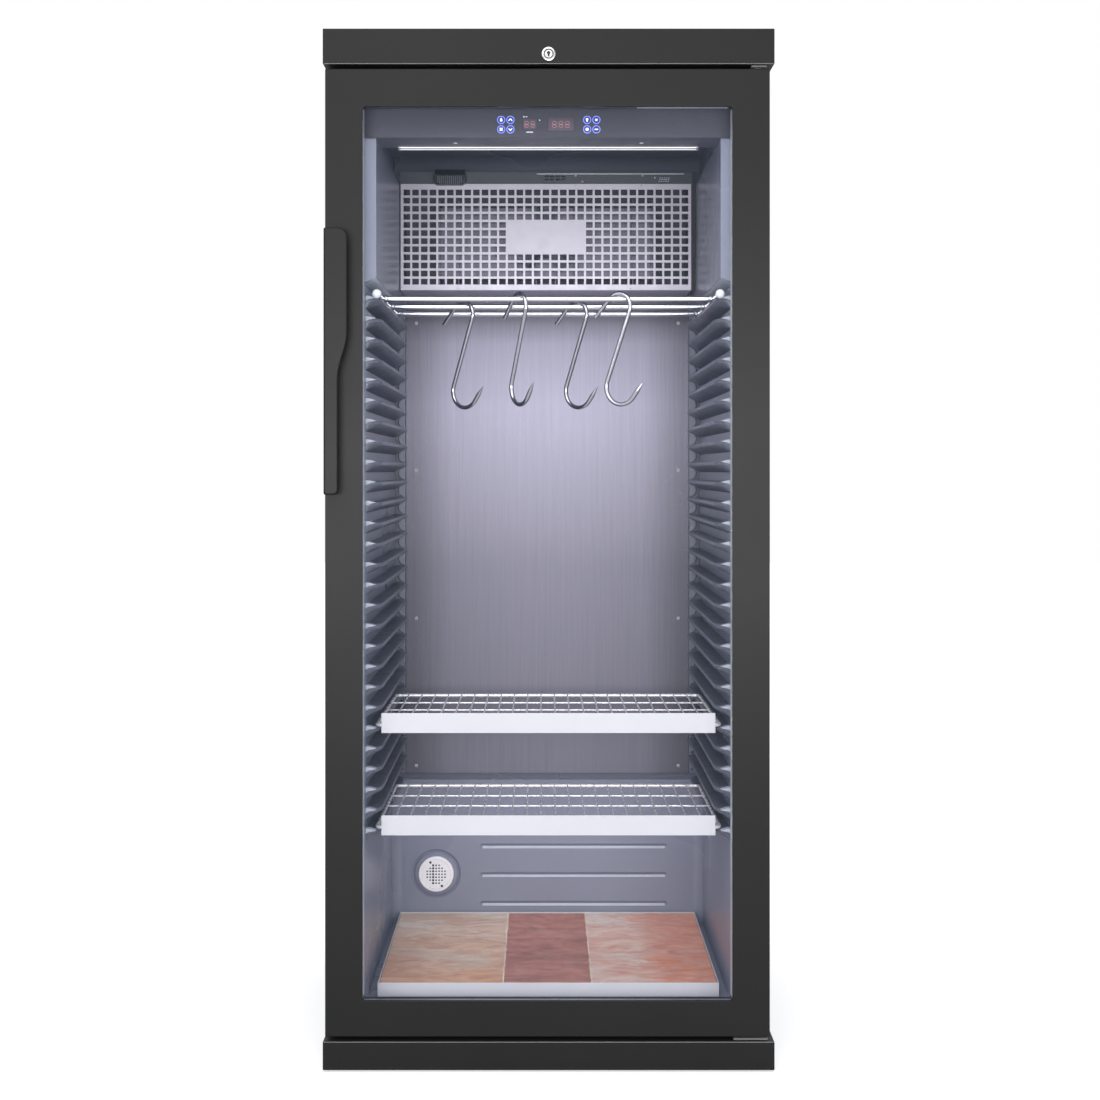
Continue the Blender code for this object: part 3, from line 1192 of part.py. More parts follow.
def fan(name, carrier, place, radius, hub, low, high):
    """One fan: bored hub and its blades."""
    rim = hub / 4
    bore = bore_radius(SHAFT_RADIUS, 20)
    profile = [(bore, low), (hub - rim, low), (hub, low + rim), (hub, high), (bore, high)]
    made = piece(name, turned(profile, "Y", place, 20), "black_plastic", carrier, smooth_deg=35)
    blades = bmesh.new()
    add_blades(blades, place, radius, hub, (low + high) / 2)
    fuse(made, blades, "blades")
    return made


def fan_motor(name, root, place, radius, front, rear, shaft_front):
    """Motor can with its shaft pointing forwards."""
    profile = [(0, shaft_front), (SHAFT_RADIUS, shaft_front), (SHAFT_RADIUS, front), (radius, front),
               (radius, rear), (0, rear)]
    return piece(name, turned(profile, "Y", place, 20), "grey_steel", root, smooth_deg=35)


def evaporator(root):
    rear = CHAMBER_REAR - CLEAR - EVAP_WALL - CLEAR
    coil_front = rear - COIL_DEPTH
    fin_block("evaporator_coil", root, (EVAP_X - COIL_HALF, EVAP_X + COIL_HALF), (coil_front, rear),
              (COIL_BOTTOM, COIL_TOP), COIL_FINS, COIL_FIN, COIL_INSET)
    place = (EVAP_X, (COIL_BOTTOM + COIL_TOP) / 2)
    fan_front = EVAP_FRONT + COVER_SHEET + FAN_RUNNING_GAP
    fan_rear = fan_front + FAN_DEPTH
    fan_motor("evaporator_fan_motor", root, place, MOTOR_RADIUS, at_depth(fan_rear + FAN_RUNNING_GAP),
              at_depth(coil_front - CLEAR), at_depth(fan_front + FAN_RUNNING_GAP))
    spin = body("evaporator_fan_spin", (place[0], at_depth(fan_front), place[1]))
    fan("evaporator_fan", spin, place, FAN_RADIUS, FAN_HUB_RADIUS, at_depth(fan_front), at_depth(fan_rear))


def sensor_cover(root):
    """Ribbed cover of the humidity sensor, hung in front of the housing's strip."""
    half = SENSOR_WIDTH / 2
    low = SENSOR_Z - SENSOR_HEIGHT / 2
    high = SENSOR_Z + SENSOR_HEIGHT / 2
    radius = SENSOR_HEIGHT / 3
    outline = [(SENSOR_X + half, high), (SENSOR_X - half, high)]
    outline += arc((SENSOR_X - half + radius, low + radius), radius, 180, 270, 4)
    outline += arc((SENSOR_X + half - radius, low + radius), radius, 270, 360, 4)
    front = EVAP_FRONT - CLEAR - SENSOR_DEPTH
    cover = piece("humidity_sensor_cover", prism(outline, "Y", at_depth(front), at_depth(EVAP_FRONT - CLEAR)),
                  "black_plastic", root)
    ribs = bmesh.new()
    span = SENSOR_WIDTH - 2 * radius
    for i in range(SENSOR_RIBS):
        x = SENSOR_X - span / 2 + span * i / (SENSOR_RIBS - 1)
        add_box(ribs, (x - SENSOR_RIB / 2, x + SENSOR_RIB / 2),
                (at_depth(front - SENSOR_RIB_PROUD), at_depth(front + SINK)),
                (low + SENSOR_RIB, high - SENSOR_HEIGHT / 3))
    fuse(cover, ribs, "ribs")
    return cover


def back_panel(root):
    half = BACK_PANEL_WIDTH / 2
    rear = CHAMBER_REAR - CLEAR
    return piece("back_panel", box((-half, half), (rear - BACK_PANEL_SHEET, rear),
                                   (LEDGE_Z + CLEAR, EVAP_BOTTOM - BACK_PANEL_MARGIN)), "stainless", root)


def filter_cap():
    """Round carbon filter cap: a stepped, vented disc with a neck that turns in the liner's hole."""
    turning = body("filter_turning", (FILTER_X, at_depth(LOWER_REAR), FILTER_Z))
    front = at_depth(LOWER_REAR - CLEAR - FILTER_THICK)
    back = at_depth(LOWER_REAR - CLEAR)
    rim = FILTER_RADIUS
    inner = rim - 3 * FILTER_STEP
    profile = [(0, front + FILTER_STEP), (inner, front + FILTER_STEP), (inner, front), (rim - FILTER_STEP, front),
               (rim, front + FILTER_STEP), (rim, back), (FILTER_NECK_RADIUS, back),
               (FILTER_NECK_RADIUS, back + FILTER_NECK_LENGTH), (0, back + FILTER_NECK_LENGTH)]
    cap = piece("filter_cap", turned(profile, "Y", (FILTER_X, FILTER_Z), 20), "white_plastic", turning,
                smooth_deg=35)
    holes = bmesh.new()
    deep = front + FILTER_THICK
    for row in range(FILTER_VENT_ROWS):
        for column in range(FILTER_VENT_ROWS):
            dx = (column - (FILTER_VENT_ROWS - 1) / 2) * FILTER_VENT_PITCH
            dz = (row - (FILTER_VENT_ROWS - 1) / 2) * FILTER_VENT_PITCH
            if math.hypot(dx, dz) > FILTER_VENT_SPREAD:
                continue
            add_cylinder(holes, "Y", (FILTER_X + dx, FILTER_Z + dz), FILTER_VENT_RADIUS, front - OVERRUN, deep, 4)
    for side in (-1, 1):
        add_cylinder(holes, "Y", (FILTER_X, FILTER_Z + side * FILTER_KEY_REACH), FILTER_KEY_RADIUS,
                     front - OVERRUN, deep, 6)
    cut(cap, holes, "vents")
    return cap


# Rack and hooks

def hanging_rack(rack):
    """Two side rods with ball ends, joined by three cross bars."""
    for side, label in ((-1, "left"), (1, "right")):
        start = at_depth(ROD_FRONT)
        neck = math.sqrt(KNOB_RADIUS ** 2 - ROD_RADIUS ** 2)
        ball = arc((start, 0), KNOB_RADIUS, 180, math.degrees(math.atan2(ROD_RADIUS, neck)), 7)
        profile = [(radius if radius > CLEAR else 0, reach) for reach, radius in ball]
        profile += [(ROD_RADIUS, at_depth(ROD_REAR)), (0, at_depth(ROD_REAR))]
        piece(f"rack_rod_{label}", turned(profile, "Y", (side * ROD_HALF, ROD_Z), 12), "chrome", rack,
              smooth_deg=50)
    reach = ROD_HALF - ROD_RADIUS - CLEAR
    for label, depth in BAR_DEPTHS.items():
        bm = bmesh.new()
        add_cylinder(bm, "X", (at_depth(depth), ROD_Z), ROD_RADIUS, -reach, reach, 12)
        piece(f"rack_bar_{label}", bm, "chrome", rack, smooth_deg=50)


def polar(centre, radius, degrees):
    angle = math.radians(degrees)
    return Vector((centre[0] + radius * math.cos(angle), centre[1] + radius * math.sin(angle)))


def hook_path():
    """Centre line of an S-hook in its own plane, as (across, up) from the crown, from tail to point."""
    upper = Vector((0, -HOOK_TOP_RADIUS))
    lower = Vector((HOOK_OFFSET, -HOOK_TOP_RADIUS - HOOK_DROP))
    span = lower - upper
    lean = math.degrees(math.asin((HOOK_TOP_RADIUS + HOOK_LOW_RADIUS) / span.length)
                        - math.atan2(span.x, -span.y))
    top = [Vector(p) for p in arc(upper, HOOK_TOP_RADIUS, HOOK_TAIL_DEG, -lean, HOOK_STEPS)]
    low = [Vector(p) for p in arc(lower, HOOK_LOW_RADIUS, 180 - lean, HOOK_POINT_DEG, HOOK_STEPS)]
    tail = top[0] + polar((0, 0), HOOK_TAIL, HOOK_TAIL_DEG + 90)
    point = low[-1] + polar((0, 0), HOOK_POINT, HOOK_POINT_DEG + 90)
    shoulder = low[-1].lerp(point, HOOK_SHOULDER)
    return [tail] + top + low + [shoulder, point]


def balance_of(path):
    """Distance across from the crown to the wire's centre of mass."""
    lengths = [(b - a).length for a, b in zip(path, path[1:])]
    middles = [(a + b) / 2 for a, b in zip(path, path[1:])]
    return sum(size * middle.x for size, middle in zip(lengths, middles)) / sum(lengths)


def hook_lift(path, balance, turn):
    """Height of the crown over the bar's axis at which the wire just clears the bar."""
    need = ROD_RADIUS + HOOK_WIRE + CLEAR
    samples = 16
    lift = 0
    for a, b in zip(path, path[1:]):
        for i in range(samples):
            p = a.lerp(b, i / samples)
            side = abs((p.x - balance) * math.sin(turn))
            if p.y > -HOOK_TOP_RADIUS and side < need:
                lift = max(lift, math.sqrt(need ** 2 - side ** 2) - p.y)
    return lift


def hook(index, bar, x, turn_deg):
    """One S-hook as a bevelled curve, hung on the middle of its bar's axis."""
    turn = math.radians(turn_deg)
    pivot = body(f"hook_{index}_swing", (x, at_depth(BAR_DEPTHS[bar]), ROD_Z))
    path = hook_path()
    balance = balance_of(path)
    lift = hook_lift(path, balance, turn)
    curve = bpy.data.curves.new(f"hook_{index}", "CURVE")
    curve.dimensions = "3D"
    curve.bevel_depth = HOOK_WIRE
    curve.bevel_resolution = 1
    curve.use_fill_caps = True
    spline = curve.splines.new("POLY")
    spline.points.add(len(path) - 1)
    tip_share = 0.2
    for i, p in enumerate(path):
        place = (p.x * math.cos(turn), (balance - p.x) * math.sin(turn), p.y + lift)
        spline.points[i].co = (*place, 1.0)
        spline.points[i].radius = tip_share if i == len(path) - 1 else 1.0
    curve.materials.append(material("chrome"))
    obj = bpy.data.objects.new(f"hook_{index}", curve)
    obj.parent = pivot
    bpy.context.scene.collection.objects.link(obj)
    return obj


# Shelves

def shelf(name, rib):
    """Wire shelf that rests on one pair of ribs, with its white front strip."""
    carrier = body(f"{name}_slide")
    middle = RIB_FIRST_TOP - rib * RIB_PITCH + CLEAR + SHELF_FRAME
    side = SHELF_HALF - SHELF_FRAME
    front = at_depth(SHELF_FRONT)
    rear = at_depth(SHELF_REAR)
    frame = 2 * SHELF_FRAME
    ring = bmesh.new()
    outer = ((-SHELF_HALF, front - SHELF_FRAME), (SHELF_HALF, rear + SHELF_FRAME))
    inner = ((-SHELF_HALF + frame, front + SHELF_FRAME), (SHELF_HALF - frame, rear - SHELF_FRAME))
    add_flat_ring(ring, outer, inner, middle - SHELF_FRAME, middle + SHELF_FRAME)
    grid = piece(f"{name}_grid", ring, "chrome", carrier)
    bevel(grid, SHELF_FRAME / 2, segments=1)
    wires = bmesh.new()
    step = (2 * side) / (LONG_WIRE_COUNT + 1)
    for i in range(LONG_WIRE_COUNT):
        add_cylinder(wires, "Y", (-side + step * (i + 1), middle + SHELF_FRAME - CLEAR - LONG_WIRE), LONG_WIRE,
                     front, rear, LONG_WIRE_SIDES)
    fuse(grid, wires, "long_wires")
    cross = bmesh.new()
    for i in range(CROSS_WIRE_COUNT):
        y = front + (rear - front) * (i + 1) / (CROSS_WIRE_COUNT + 1)
        add_cylinder(cross, "X", (y, middle - SHELF_FRAME + CLEAR + CROSS_WIRE), CROSS_WIRE, -side, side,
                     CROSS_WIRE_SIDES)
    fuse(grid, cross, "cross_wires")
    strip_rear = front - SHELF_FRAME - CLEAR
    strip_front = strip_rear - STRIP_SHEET
    wire_top = middle + SHELF_FRAME
    top = wire_top + STRIP_RISE
    lip_low = wire_top + CLEAR
    lip_rear = front + SHELF_FRAME
    outline = [(strip_front, top), (strip_rear, top), (strip_rear, lip_low + STRIP_LIP),
               (lip_rear, lip_low + STRIP_LIP), (lip_rear, lip_low), (strip_rear, lip_low),
               (strip_rear, top - STRIP_HEIGHT), (strip_front, top - STRIP_HEIGHT)]
    piece(f"{name}_strip", prism(outline, "X", -STRIP_HALF, STRIP_HALF), "white_plastic", carrier)
    return carrier


def add_flat_ring(bm, outer, inner, low, high):
    """A rectangular ring extruded along Z; outer and inner are (low corner, high corner) in X and Y."""
    levels = []
    for z in (low, high):
        for (x0, y0), (x1, y1) in (outer, inner):
            levels.append([bm.verts.new((x, y, z)) for x, y in ((x0, y0), (x1, y0), (x1, y1), (x0, y1))])
    outer_low, inner_low, outer_high, inner_high = levels
    for i in range(4):
        j = (i + 1) % 4
        bm.faces.new((outer_low[i], inner_low[i], inner_low[j], outer_low[j]))
        bm.faces.new((outer_high[i], outer_high[j], inner_high[j], inner_high[i]))
        bm.faces.new((outer_low[i], outer_low[j], outer_high[j], outer_high[i]))
        bm.faces.new((inner_low[i], inner_high[i], inner_high[j], inner_low[j]))


# Salt tray

def salt_tray():
    """Sheet tray on the chamber's floor that holds three salt blocks."""
    carrier = body("salt_tray_slide")
    low = TRAY_BOTTOM
    high = low + TRAY_HEIGHT
    tray = piece("salt_tray", box((-TRAY_HALF, TRAY_HALF), (TRAY_FRONT, TRAY_REAR), (low, high)), "white_plastic",
                 carrier)
    wall = TRAY_SHEET
    inner = TRAY_HALF - wall
    cut(tray, box((-inner, inner), (TRAY_FRONT + wall, TRAY_REAR - wall), (low + wall, high + OVERRUN)), "well")
    left = -inner + CLEAR
    right = inner - CLEAR
    joints = (left, left + SALT_LEFT_WIDTH, left + SALT_LEFT_WIDTH + CLEAR + SALT_MIDDLE_WIDTH, right)
    floor = low + wall + CLEAR
    finishes = ("sand_salt", "rose_salt", "salt")
    for i, (label, finish) in enumerate(zip(("left", "middle", "right"), finishes)):
        start = joints[i] + (CLEAR if i else 0)
        block_body = body(f"salt_block_{label}_lift")
        block_body.parent = carrier
        block = piece(f"salt_block_{label}",
                      box((start, joints[i + 1]), (TRAY_FRONT + wall + CLEAR, TRAY_REAR - wall - CLEAR),
                          (floor, floor + SALT_THICK)), finish, block_body)
        bevel(block, SALT_BEVEL, segments=1)
    return tray


# Feet and machine compartment

def levelling_feet():
    number = 0
    for x in (-FOOT_X, FOOT_X):
        for depth in (FOOT_FRONT, FOOT_REAR):
            number += 1
            place = (x, at_depth(depth))
            carrier = body(f"foot_{number}_screw", (*place, 0))
            shoulder = FOOT_BOSS_Z - CLEAR
            top = PAN_TOP - CLEAR
            edge = FOOT_DISC / 3
            profile = [(0, 0), (FOOT_RADIUS - edge, 0), (FOOT_RADIUS, edge), (FOOT_RADIUS, FOOT_DISC - edge),
                       (FOOT_NUT_RADIUS, FOOT_DISC), (FOOT_NUT_RADIUS, shoulder), (FOOT_STEM_RADIUS, shoulder),
                       (FOOT_STEM_RADIUS, top), (0, top)]
            piece(f"levelling_foot_{number}", turned(profile, "Z", place, 10), "black_rubber", carrier,
                  smooth_deg=35)


def compressor(root):
    """Hermetic compressor: an oval can with a seam flange, on a base plate with rubber feet."""
    floor = PAN_TOP + CLEAR
    depth = (MACHINE_FRONT + BODY_REAR - SHEET) / 2
    can_bottom = floor + COMPRESSOR_FOOT
    seam = can_bottom + COMPRESSOR_HEIGHT * COMPRESSOR_SEAM_SHARE
    dome = COMPRESSOR_HALF_DEPTH * COMPRESSOR_DOME_SHARE
    ratio = COMPRESSOR_HALF_WIDTH / COMPRESSOR_HALF_DEPTH
    radius = COMPRESSOR_HALF_DEPTH - COMPRESSOR_SEAM
    top = can_bottom + COMPRESSOR_HEIGHT
    low_arc = arc((radius - dome, can_bottom + dome), dome, -90, 0, 2)
    high_arc = arc((radius - dome, top - dome), dome, 0, 90, 2)
    profile = [(0, can_bottom)] + low_arc
    profile += [(radius, seam), (radius + COMPRESSOR_SEAM, seam), (radius + COMPRESSOR_SEAM, seam + COMPRESSOR_SEAM),
                (radius, seam + COMPRESSOR_SEAM)]
    profile += high_arc + [(0, top)]
    can = piece("compressor", turned(profile, "Z", (COMPRESSOR_X, at_depth(depth)), 14, (ratio, 1.0)),
                "black_metal", root, smooth_deg=45)
    base = bmesh.new()
    half_x = COMPRESSOR_HALF_WIDTH
    half_y = COMPRESSOR_HALF_DEPTH
    plate = (can_bottom - SINK, can_bottom - SINK + COMPRESSOR_BASE)
    add_box(base, (COMPRESSOR_X - half_x, COMPRESSOR_X + half_x),
            (at_depth(depth - half_y), at_depth(depth + half_y)), plate)
    fuse(can, base, "base")
    feet = bmesh.new()
    for sx in (-1, 1):
        for sy in (-1, 1):
            foot = (COMPRESSOR_X + sx * (half_x - 2 * COMPRESSOR_FOOT_RADIUS),
                    at_depth(depth + sy * (half_y - 2 * COMPRESSOR_FOOT_RADIUS)))
            add_cylinder(feet, "Z", foot, COMPRESSOR_FOOT_RADIUS, floor, plate[0] + SINK, 6)
    fuse(can, feet, "feet")
    return top, depth


def drip_pan(root, low, depth):
    """Pan over the compressor in which the defrost water evaporates."""
    half_y = COMPRESSOR_HALF_DEPTH
    low += CLEAR
    pan = piece("drip_pan", box((COMPRESSOR_X - DRIP_PAN_HALF, COMPRESSOR_X + DRIP_PAN_HALF),
                                (depth - half_y, depth + half_y), (low, low + DRIP_PAN_HEIGHT)),
                "black_plastic", root)
    wall = DRIP_PAN_WALL
    inner = DRIP_PAN_HALF - wall
    cut(pan, box((COMPRESSOR_X - inner, COMPRESSOR_X + inner), (depth - half_y + wall, depth + half_y - wall),
                 (low + wall, low + DRIP_PAN_HEIGHT + OVERRUN)), "well")
    return pan


def condenser_unit(root):
    """Finned condenser with its fan behind it, both standing on the pan."""
    floor = PAN_TOP + CLEAR
    front = MACHINE_FRONT + CLEAR
    rear = front + CONDENSER_DEPTH
    fin_block("condenser", root, (CONDENSER_X - CONDENSER_HALF, CONDENSER_X + CONDENSER_HALF), (front, rear),
              (floor, floor + CONDENSER_HEIGHT), CONDENSER_FINS, COIL_FIN, CONDENSER_INSET)
    place = (CONDENSER_X, floor + CONDENSER_HEIGHT / 2)
    fan_front = rear + FAN_RUNNING_GAP
    fan_rear = fan_front + CONDENSER_FAN_DEPTH
    motor_front = fan_rear + FAN_RUNNING_GAP
    motor_rear = motor_front + CONDENSER_MOTOR_DEPTH
    motor = fan_motor("condenser_fan_motor", root, place, CONDENSER_MOTOR_RADIUS, at_depth(motor_front),
                      at_depth(motor_rear), at_depth(fan_front + FAN_RUNNING_GAP))
    stem = CONDENSER_STEM_HALF
    fuse(motor, box((place[0] - stem, place[0] + stem), (motor_rear - stem, motor_rear - SINK),
                    (floor, place[1] - CONDENSER_MOTOR_RADIUS / 2)), "stand")
    spin = body("condenser_fan_spin", (place[0], at_depth(fan_front), place[1]))
    fan("condenser_fan", spin, place, CONDENSER_FAN_RADIUS, FAN_HUB_RADIUS, at_depth(fan_front), at_depth(fan_rear))


def build():
    clear_scene()
    root = body("cabinet")
    top_cap(root)
    base_plinth(root)
    for side in (-1, 1):
        side_panel(root, side)
    rear_panel(root)
    machine_cover(root)
    insulation(root)
    inner_liner(root)
    back_panel(root)
    hinge_brackets(root)
    lock(root)
    control_fascia(root)
    control_module(root)
    light_bar(root)
    evaporator_housing(root)
    fan_cover(root)
    evaporator(root)
    sensor_cover(root)
    filter_cap()
    compressor_top, compressor_depth = compressor(root)
    drip_pan(root, compressor_top, compressor_depth)
    condenser_unit(root)
    levelling_feet()

    door = body("door_swing", (PIVOT_X, at_depth(PIVOT_DEPTH), 0))
    door_frame(door)
    strike_plate(door)
    pane_x, pane_z, pane_rear = glass_unit(door)
    inner_frame(door, pane_x, pane_z, pane_rear)
    door_gasket(door)
    door_handle(door)

    rack = body("rack_slide")
    hanging_rack(rack)
    for index, (bar, x, turn_deg) in enumerate(HOOKS, start=1):
        hook(index, bar, x, turn_deg)
    for name, rib in SHELF_RIBS.items():
        shelf(name, rib)
    salt_tray()


build()
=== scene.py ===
"""Looks of the dry aging cabinet: finishes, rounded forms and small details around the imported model.

Metres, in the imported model's frame: +X to the right, the front faces -Y, +Z up.
Depths are measured backwards from the front face of the cap and the plinth.
"""
import json
import math

import bmesh
import bpy
from mathutils import Matrix, Vector, noise

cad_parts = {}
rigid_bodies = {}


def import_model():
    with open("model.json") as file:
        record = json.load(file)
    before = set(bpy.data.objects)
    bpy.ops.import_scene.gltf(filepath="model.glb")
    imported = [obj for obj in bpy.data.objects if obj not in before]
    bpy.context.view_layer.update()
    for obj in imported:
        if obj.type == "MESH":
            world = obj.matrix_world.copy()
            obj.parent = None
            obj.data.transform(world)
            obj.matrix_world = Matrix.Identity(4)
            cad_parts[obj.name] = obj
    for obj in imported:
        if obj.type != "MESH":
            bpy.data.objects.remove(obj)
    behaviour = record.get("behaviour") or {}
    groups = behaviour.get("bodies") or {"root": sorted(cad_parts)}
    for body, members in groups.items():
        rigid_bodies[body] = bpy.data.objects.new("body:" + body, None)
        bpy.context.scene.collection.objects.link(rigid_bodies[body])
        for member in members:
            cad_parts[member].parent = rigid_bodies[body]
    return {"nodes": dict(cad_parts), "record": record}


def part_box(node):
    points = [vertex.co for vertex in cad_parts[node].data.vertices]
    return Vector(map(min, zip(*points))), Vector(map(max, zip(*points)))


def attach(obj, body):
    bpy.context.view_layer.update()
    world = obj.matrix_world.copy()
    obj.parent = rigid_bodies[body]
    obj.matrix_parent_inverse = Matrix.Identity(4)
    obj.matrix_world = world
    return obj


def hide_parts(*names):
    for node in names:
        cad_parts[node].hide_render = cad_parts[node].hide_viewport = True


FRONT_Y = -0.357
CLEAR = 0.0003
OVERRUN = 0.004           # how far a cutter runs past the face that it opens
WELD = 0.00002
NOISE_LOW = 0.3           # most of a noise texture's values lie between these two
NOISE_HIGH = 0.7

# Camera
CAMERA_PLACE = (-0.0114, -2.997, 1.035)
PICTURE = 1100
LENS_PIXELS = 1536
SHIFT_X_PIXELS = 8
SHIFT_Y_PIXELS = -80

# Chamber
CHAMBER_HALF = 0.325
CHAMBER_FLOOR = 0.085
CHAMBER_CEILING = 1.695
CHAMBER_REAR = 0.645
LOWER_REAR = 0.580
LEDGE_Z = 0.386
BODY_HALF = 0.3837
BODY_FRONT = 0.062
LINER_WALL = 0.002
LINER_LAP = 0.001         # how far the chamber's wall reaches into its flange
LINER_LOW = 0.0523
LINER_HIGH = 1.7327
COVE_RADIUS = 0.048
LOWER_CORNER = 0.020
CORNER_OVER = 1.1         # a corner cutter's reach from its round's centre, in radii
BULGE_HALF = 0.304
BULGE_FRONT = 0.070
BULGE_BOTTOM = 1.375
BULGE_SLOPE = 0.012
BULGE_TOP = 1.620
LINER_ROUNDING = 0.0045
# Pale skins of painted light under the side bulges
SKIN_THICK = 0.0005
SKIN_INSET = 0.001
SKIN_DROP = 0.0006
SKIN_FRONT = 0.0715
SKIN_REAR = 0.360

# Ribs
RIB_COUNT = 27
RIB_PITCH = 0.0364
RIB_FIRST_TOP = 1.3414
RIB_REACH = 0.028
RIB_EDGE = 0.007
RIB_ROOT = 0.020
RIB_FRONT = 0.092
RIB_REAR = 0.622
RIB_LOW_REAR = 0.558
RIB_FRONT_TAPER = 0.032
RIB_REAR_TAPER = 0.012
RIB_ROUNDING = 0.0022
RIB_THIN = 0.0004         # reach of a rib's very ends
RIB_SINK = 0.001
SCALLOP_INNER = 0.3045
SCALLOP_REACH = 0.0145
SCALLOP_PROUD = 0.004
SCALLOP_LINE = 0.0018
# Painted shadow line along the back panel's side edges, then a painted highlight line beside it
PANEL_EDGE = 0.3022
PANEL_GAP = 0.0016
PANEL_LIGHT = 0.00096
PANEL_LIGHT_PROUD = 0.001
PANEL_LINE_FOOT = 0.001
PANEL_LINE_RISE = 0.020
RIB_HIGHLIGHT_FRONT = -0.006        # of the painted highlights at the ribs' front ends, from those ends
RIB_HIGHLIGHT_REAR = 0.010
RIB_HIGHLIGHT_SECTION = ((0.0, 0.0032), (0.0060, 0.0030), (0.0185, -0.0004), (0.0050, -0.0030), (0.0, -0.0062))

# Grooves and filter cap in the lower back wall
GROOVE_HALF = 0.196
GROOVE_RADIUS = 0.005
GROOVE_DEPTH = 0.0040
GROOVE_BOTTOM = 0.0010
GROOVE_OVER = 0.0010
GROOVE_X = 0.055
GROOVE_ROWS = (0.247, 0.187, 0.127)
GROOVE_BACK_X = (-0.30, 0.27)
GROOVE_BACK_Z = (0.100, 0.265)
GROOVE_BACK_FRONT = 0.0015
GROOVE_LIGHT_DEPTH = 0.6  # share of a groove's depth at the back of its painted highlight
RING_INNER = 0.044
RING_OUTER = 0.051
RING_FLAT = 0.7           # half width of the ring's bottom, in GROOVE_BOTTOM
FILTER_X = -0.233
FILTER_Z = 0.189
FILTER_RADIUS = 0.0367
FILTER_THICK = 0.006
FILTER_NECK = 0.030
FILTER_NECK_LENGTH = 0.030
FILTER_HOLE_DEPTH = 0.020
FILTER_FACE = 0.0008      # the cap's middle lies this far behind its rim
FILTER_RIM = ((0.0062, FILTER_FACE), (0.0054, 0.0002), (0.0048, 0.0), (0.0016, 0.0), (0.0005, 0.0005),
              (0.0, 0.0016))
VENT_RADIUS = 0.0018
VENT_PITCH = 0.0062
VENT_FIELD = 0.0205
VENT_SIDE = 4
VENT_WIDER = 1.35         # the painted shade discs left of the middle are wider by this
VENT_OVER = 0.002
VENT_DEEP = 0.0048
MARK_X = 0.012
MARK_Z = 0.0245
MARK_RADIUS = 0.0026
SHADE_FRONT = 0.0006
SHADE_REAR = 0.0012
LINE_OUTER = 0.0312
LINE_INNER = 0.0306

# Rack and hooks
ROD_RADIUS = 0.0053
ROD_HALF = 0.304
ROD_Z = 1.347
ROD_FRONT = 0.080
ROD_REAR = 0.618
ROD_ROUNDING = 0.001
KNOB_RADIUS = 0.0082
KNOB_NECK = 0.002
COLLAR_RADIUS = 0.0066
COLLAR_ROUNDING = 0.0008
COLLAR_LENGTH = 0.0052
COLLAR_END = 0.0064
BAR_DEPTHS = {"front": 0.162, "middle": 0.298, "rear": 0.430}
HOOK_WIRE = 0.0040
HOOK_TOP_RADIUS = 0.025
HOOK_LOW_RADIUS = 0.032
HOOK_DROP = 0.1457
HOOK_OFFSET = 0.0058
HOOK_TAIL = 0.047
HOOK_TAIL_DEG = 136.0
HOOK_POINT_DEG = 322.0
HOOK_POINT = 0.034
HOOK_SHOULDER_SHARE = 0.45
HOOK_TAIL_SHARE = 0.8     # shares of the wire's radius at the hook's ends
HOOK_POINT_SHARES = (0.93, 0.08)
HOOK_TAIL_STEP = 0.02     # where the radius first changes along the end stretches, as shares of them
HOOK_POINT_STEP = 0.04
HOOK_FINE = 28
HOOK_COARSE = 8
HOOKS = (("middle", -0.1623, 40.0), ("front", -0.0538, 58.0),     # bar, place in X, turn in degrees
         ("middle", 0.0546, 40.0), ("front", 0.1283, 35.0))

# Shelves
SHELF_MIDDLES = {"upper_shelf": 0.5808, "lower_shelf": 0.3988}
SHELF_HALF = 0.309
SHELF_FRONT = 0.096
SHELF_REAR = 0.455
SHELF_FRAME = 0.0035
SHELF_CORNER = 0.010
LONG_WIRE = 0.0014
LONG_WIRE_COUNT = 22
CROSS_WIRE = 0.0018
CROSS_WIRE_COUNT = 3

# Handle
HANDLE_PROUD = 0.026
HANDLE_THICK = 0.013
HANDLE_LEFT = 0.3838
HANDLE_WIDE = 0.041
HANDLE_NARROW = 0.025
HANDLE_BOTTOM = 0.9925
HANDLE_TOP = 1.4485
HANDLE_BEND_TOP = 1.272
HANDLE_BEND_BOTTOM = 1.190
HANDLE_TOP_RADIUS = 0.017
HANDLE_BOTTOM_RADIUS = 0.0085
HANDLE_SPINE = 0.012
SPINE_SINK = 0.003
SPINE_BEVEL = 0.0015
HANDLE_BEVEL = 0.0036
DOOR_FRONT = 0.004

# Salt
SALT_CELL = 0.005
SALT_INSET = 0.0012
SALT_TOP_DROP = 0.0004
SALT_SHOULDER = 0.0022
SALT_ROUGH = 0.00035
SALT_ROUGH_SCALE = 45
SALT_CHIP = 0.0016
SALT_CHIP_SCALE = 160
CRUMB_SINK = 0.0006
CRUMB_WIDER = 1.3
SCRATCH = ((-0.222, 0.150), (-0.118, 0.062))
SCRATCH_COUNT = 110
SCRATCH_CRUMB = ((0.0006, 0.0008), (0.0020, 0.0030), 0.3)         # least size and how much more, spread, sink
JOINTS_X = (-0.0818, 0.0785)
JOINT_COUNT = 150
JOINT_END = 0.003
JOINT_CRUMB = ((0.0010, 0.0009), (0.0030, 0.0020), 0.35)

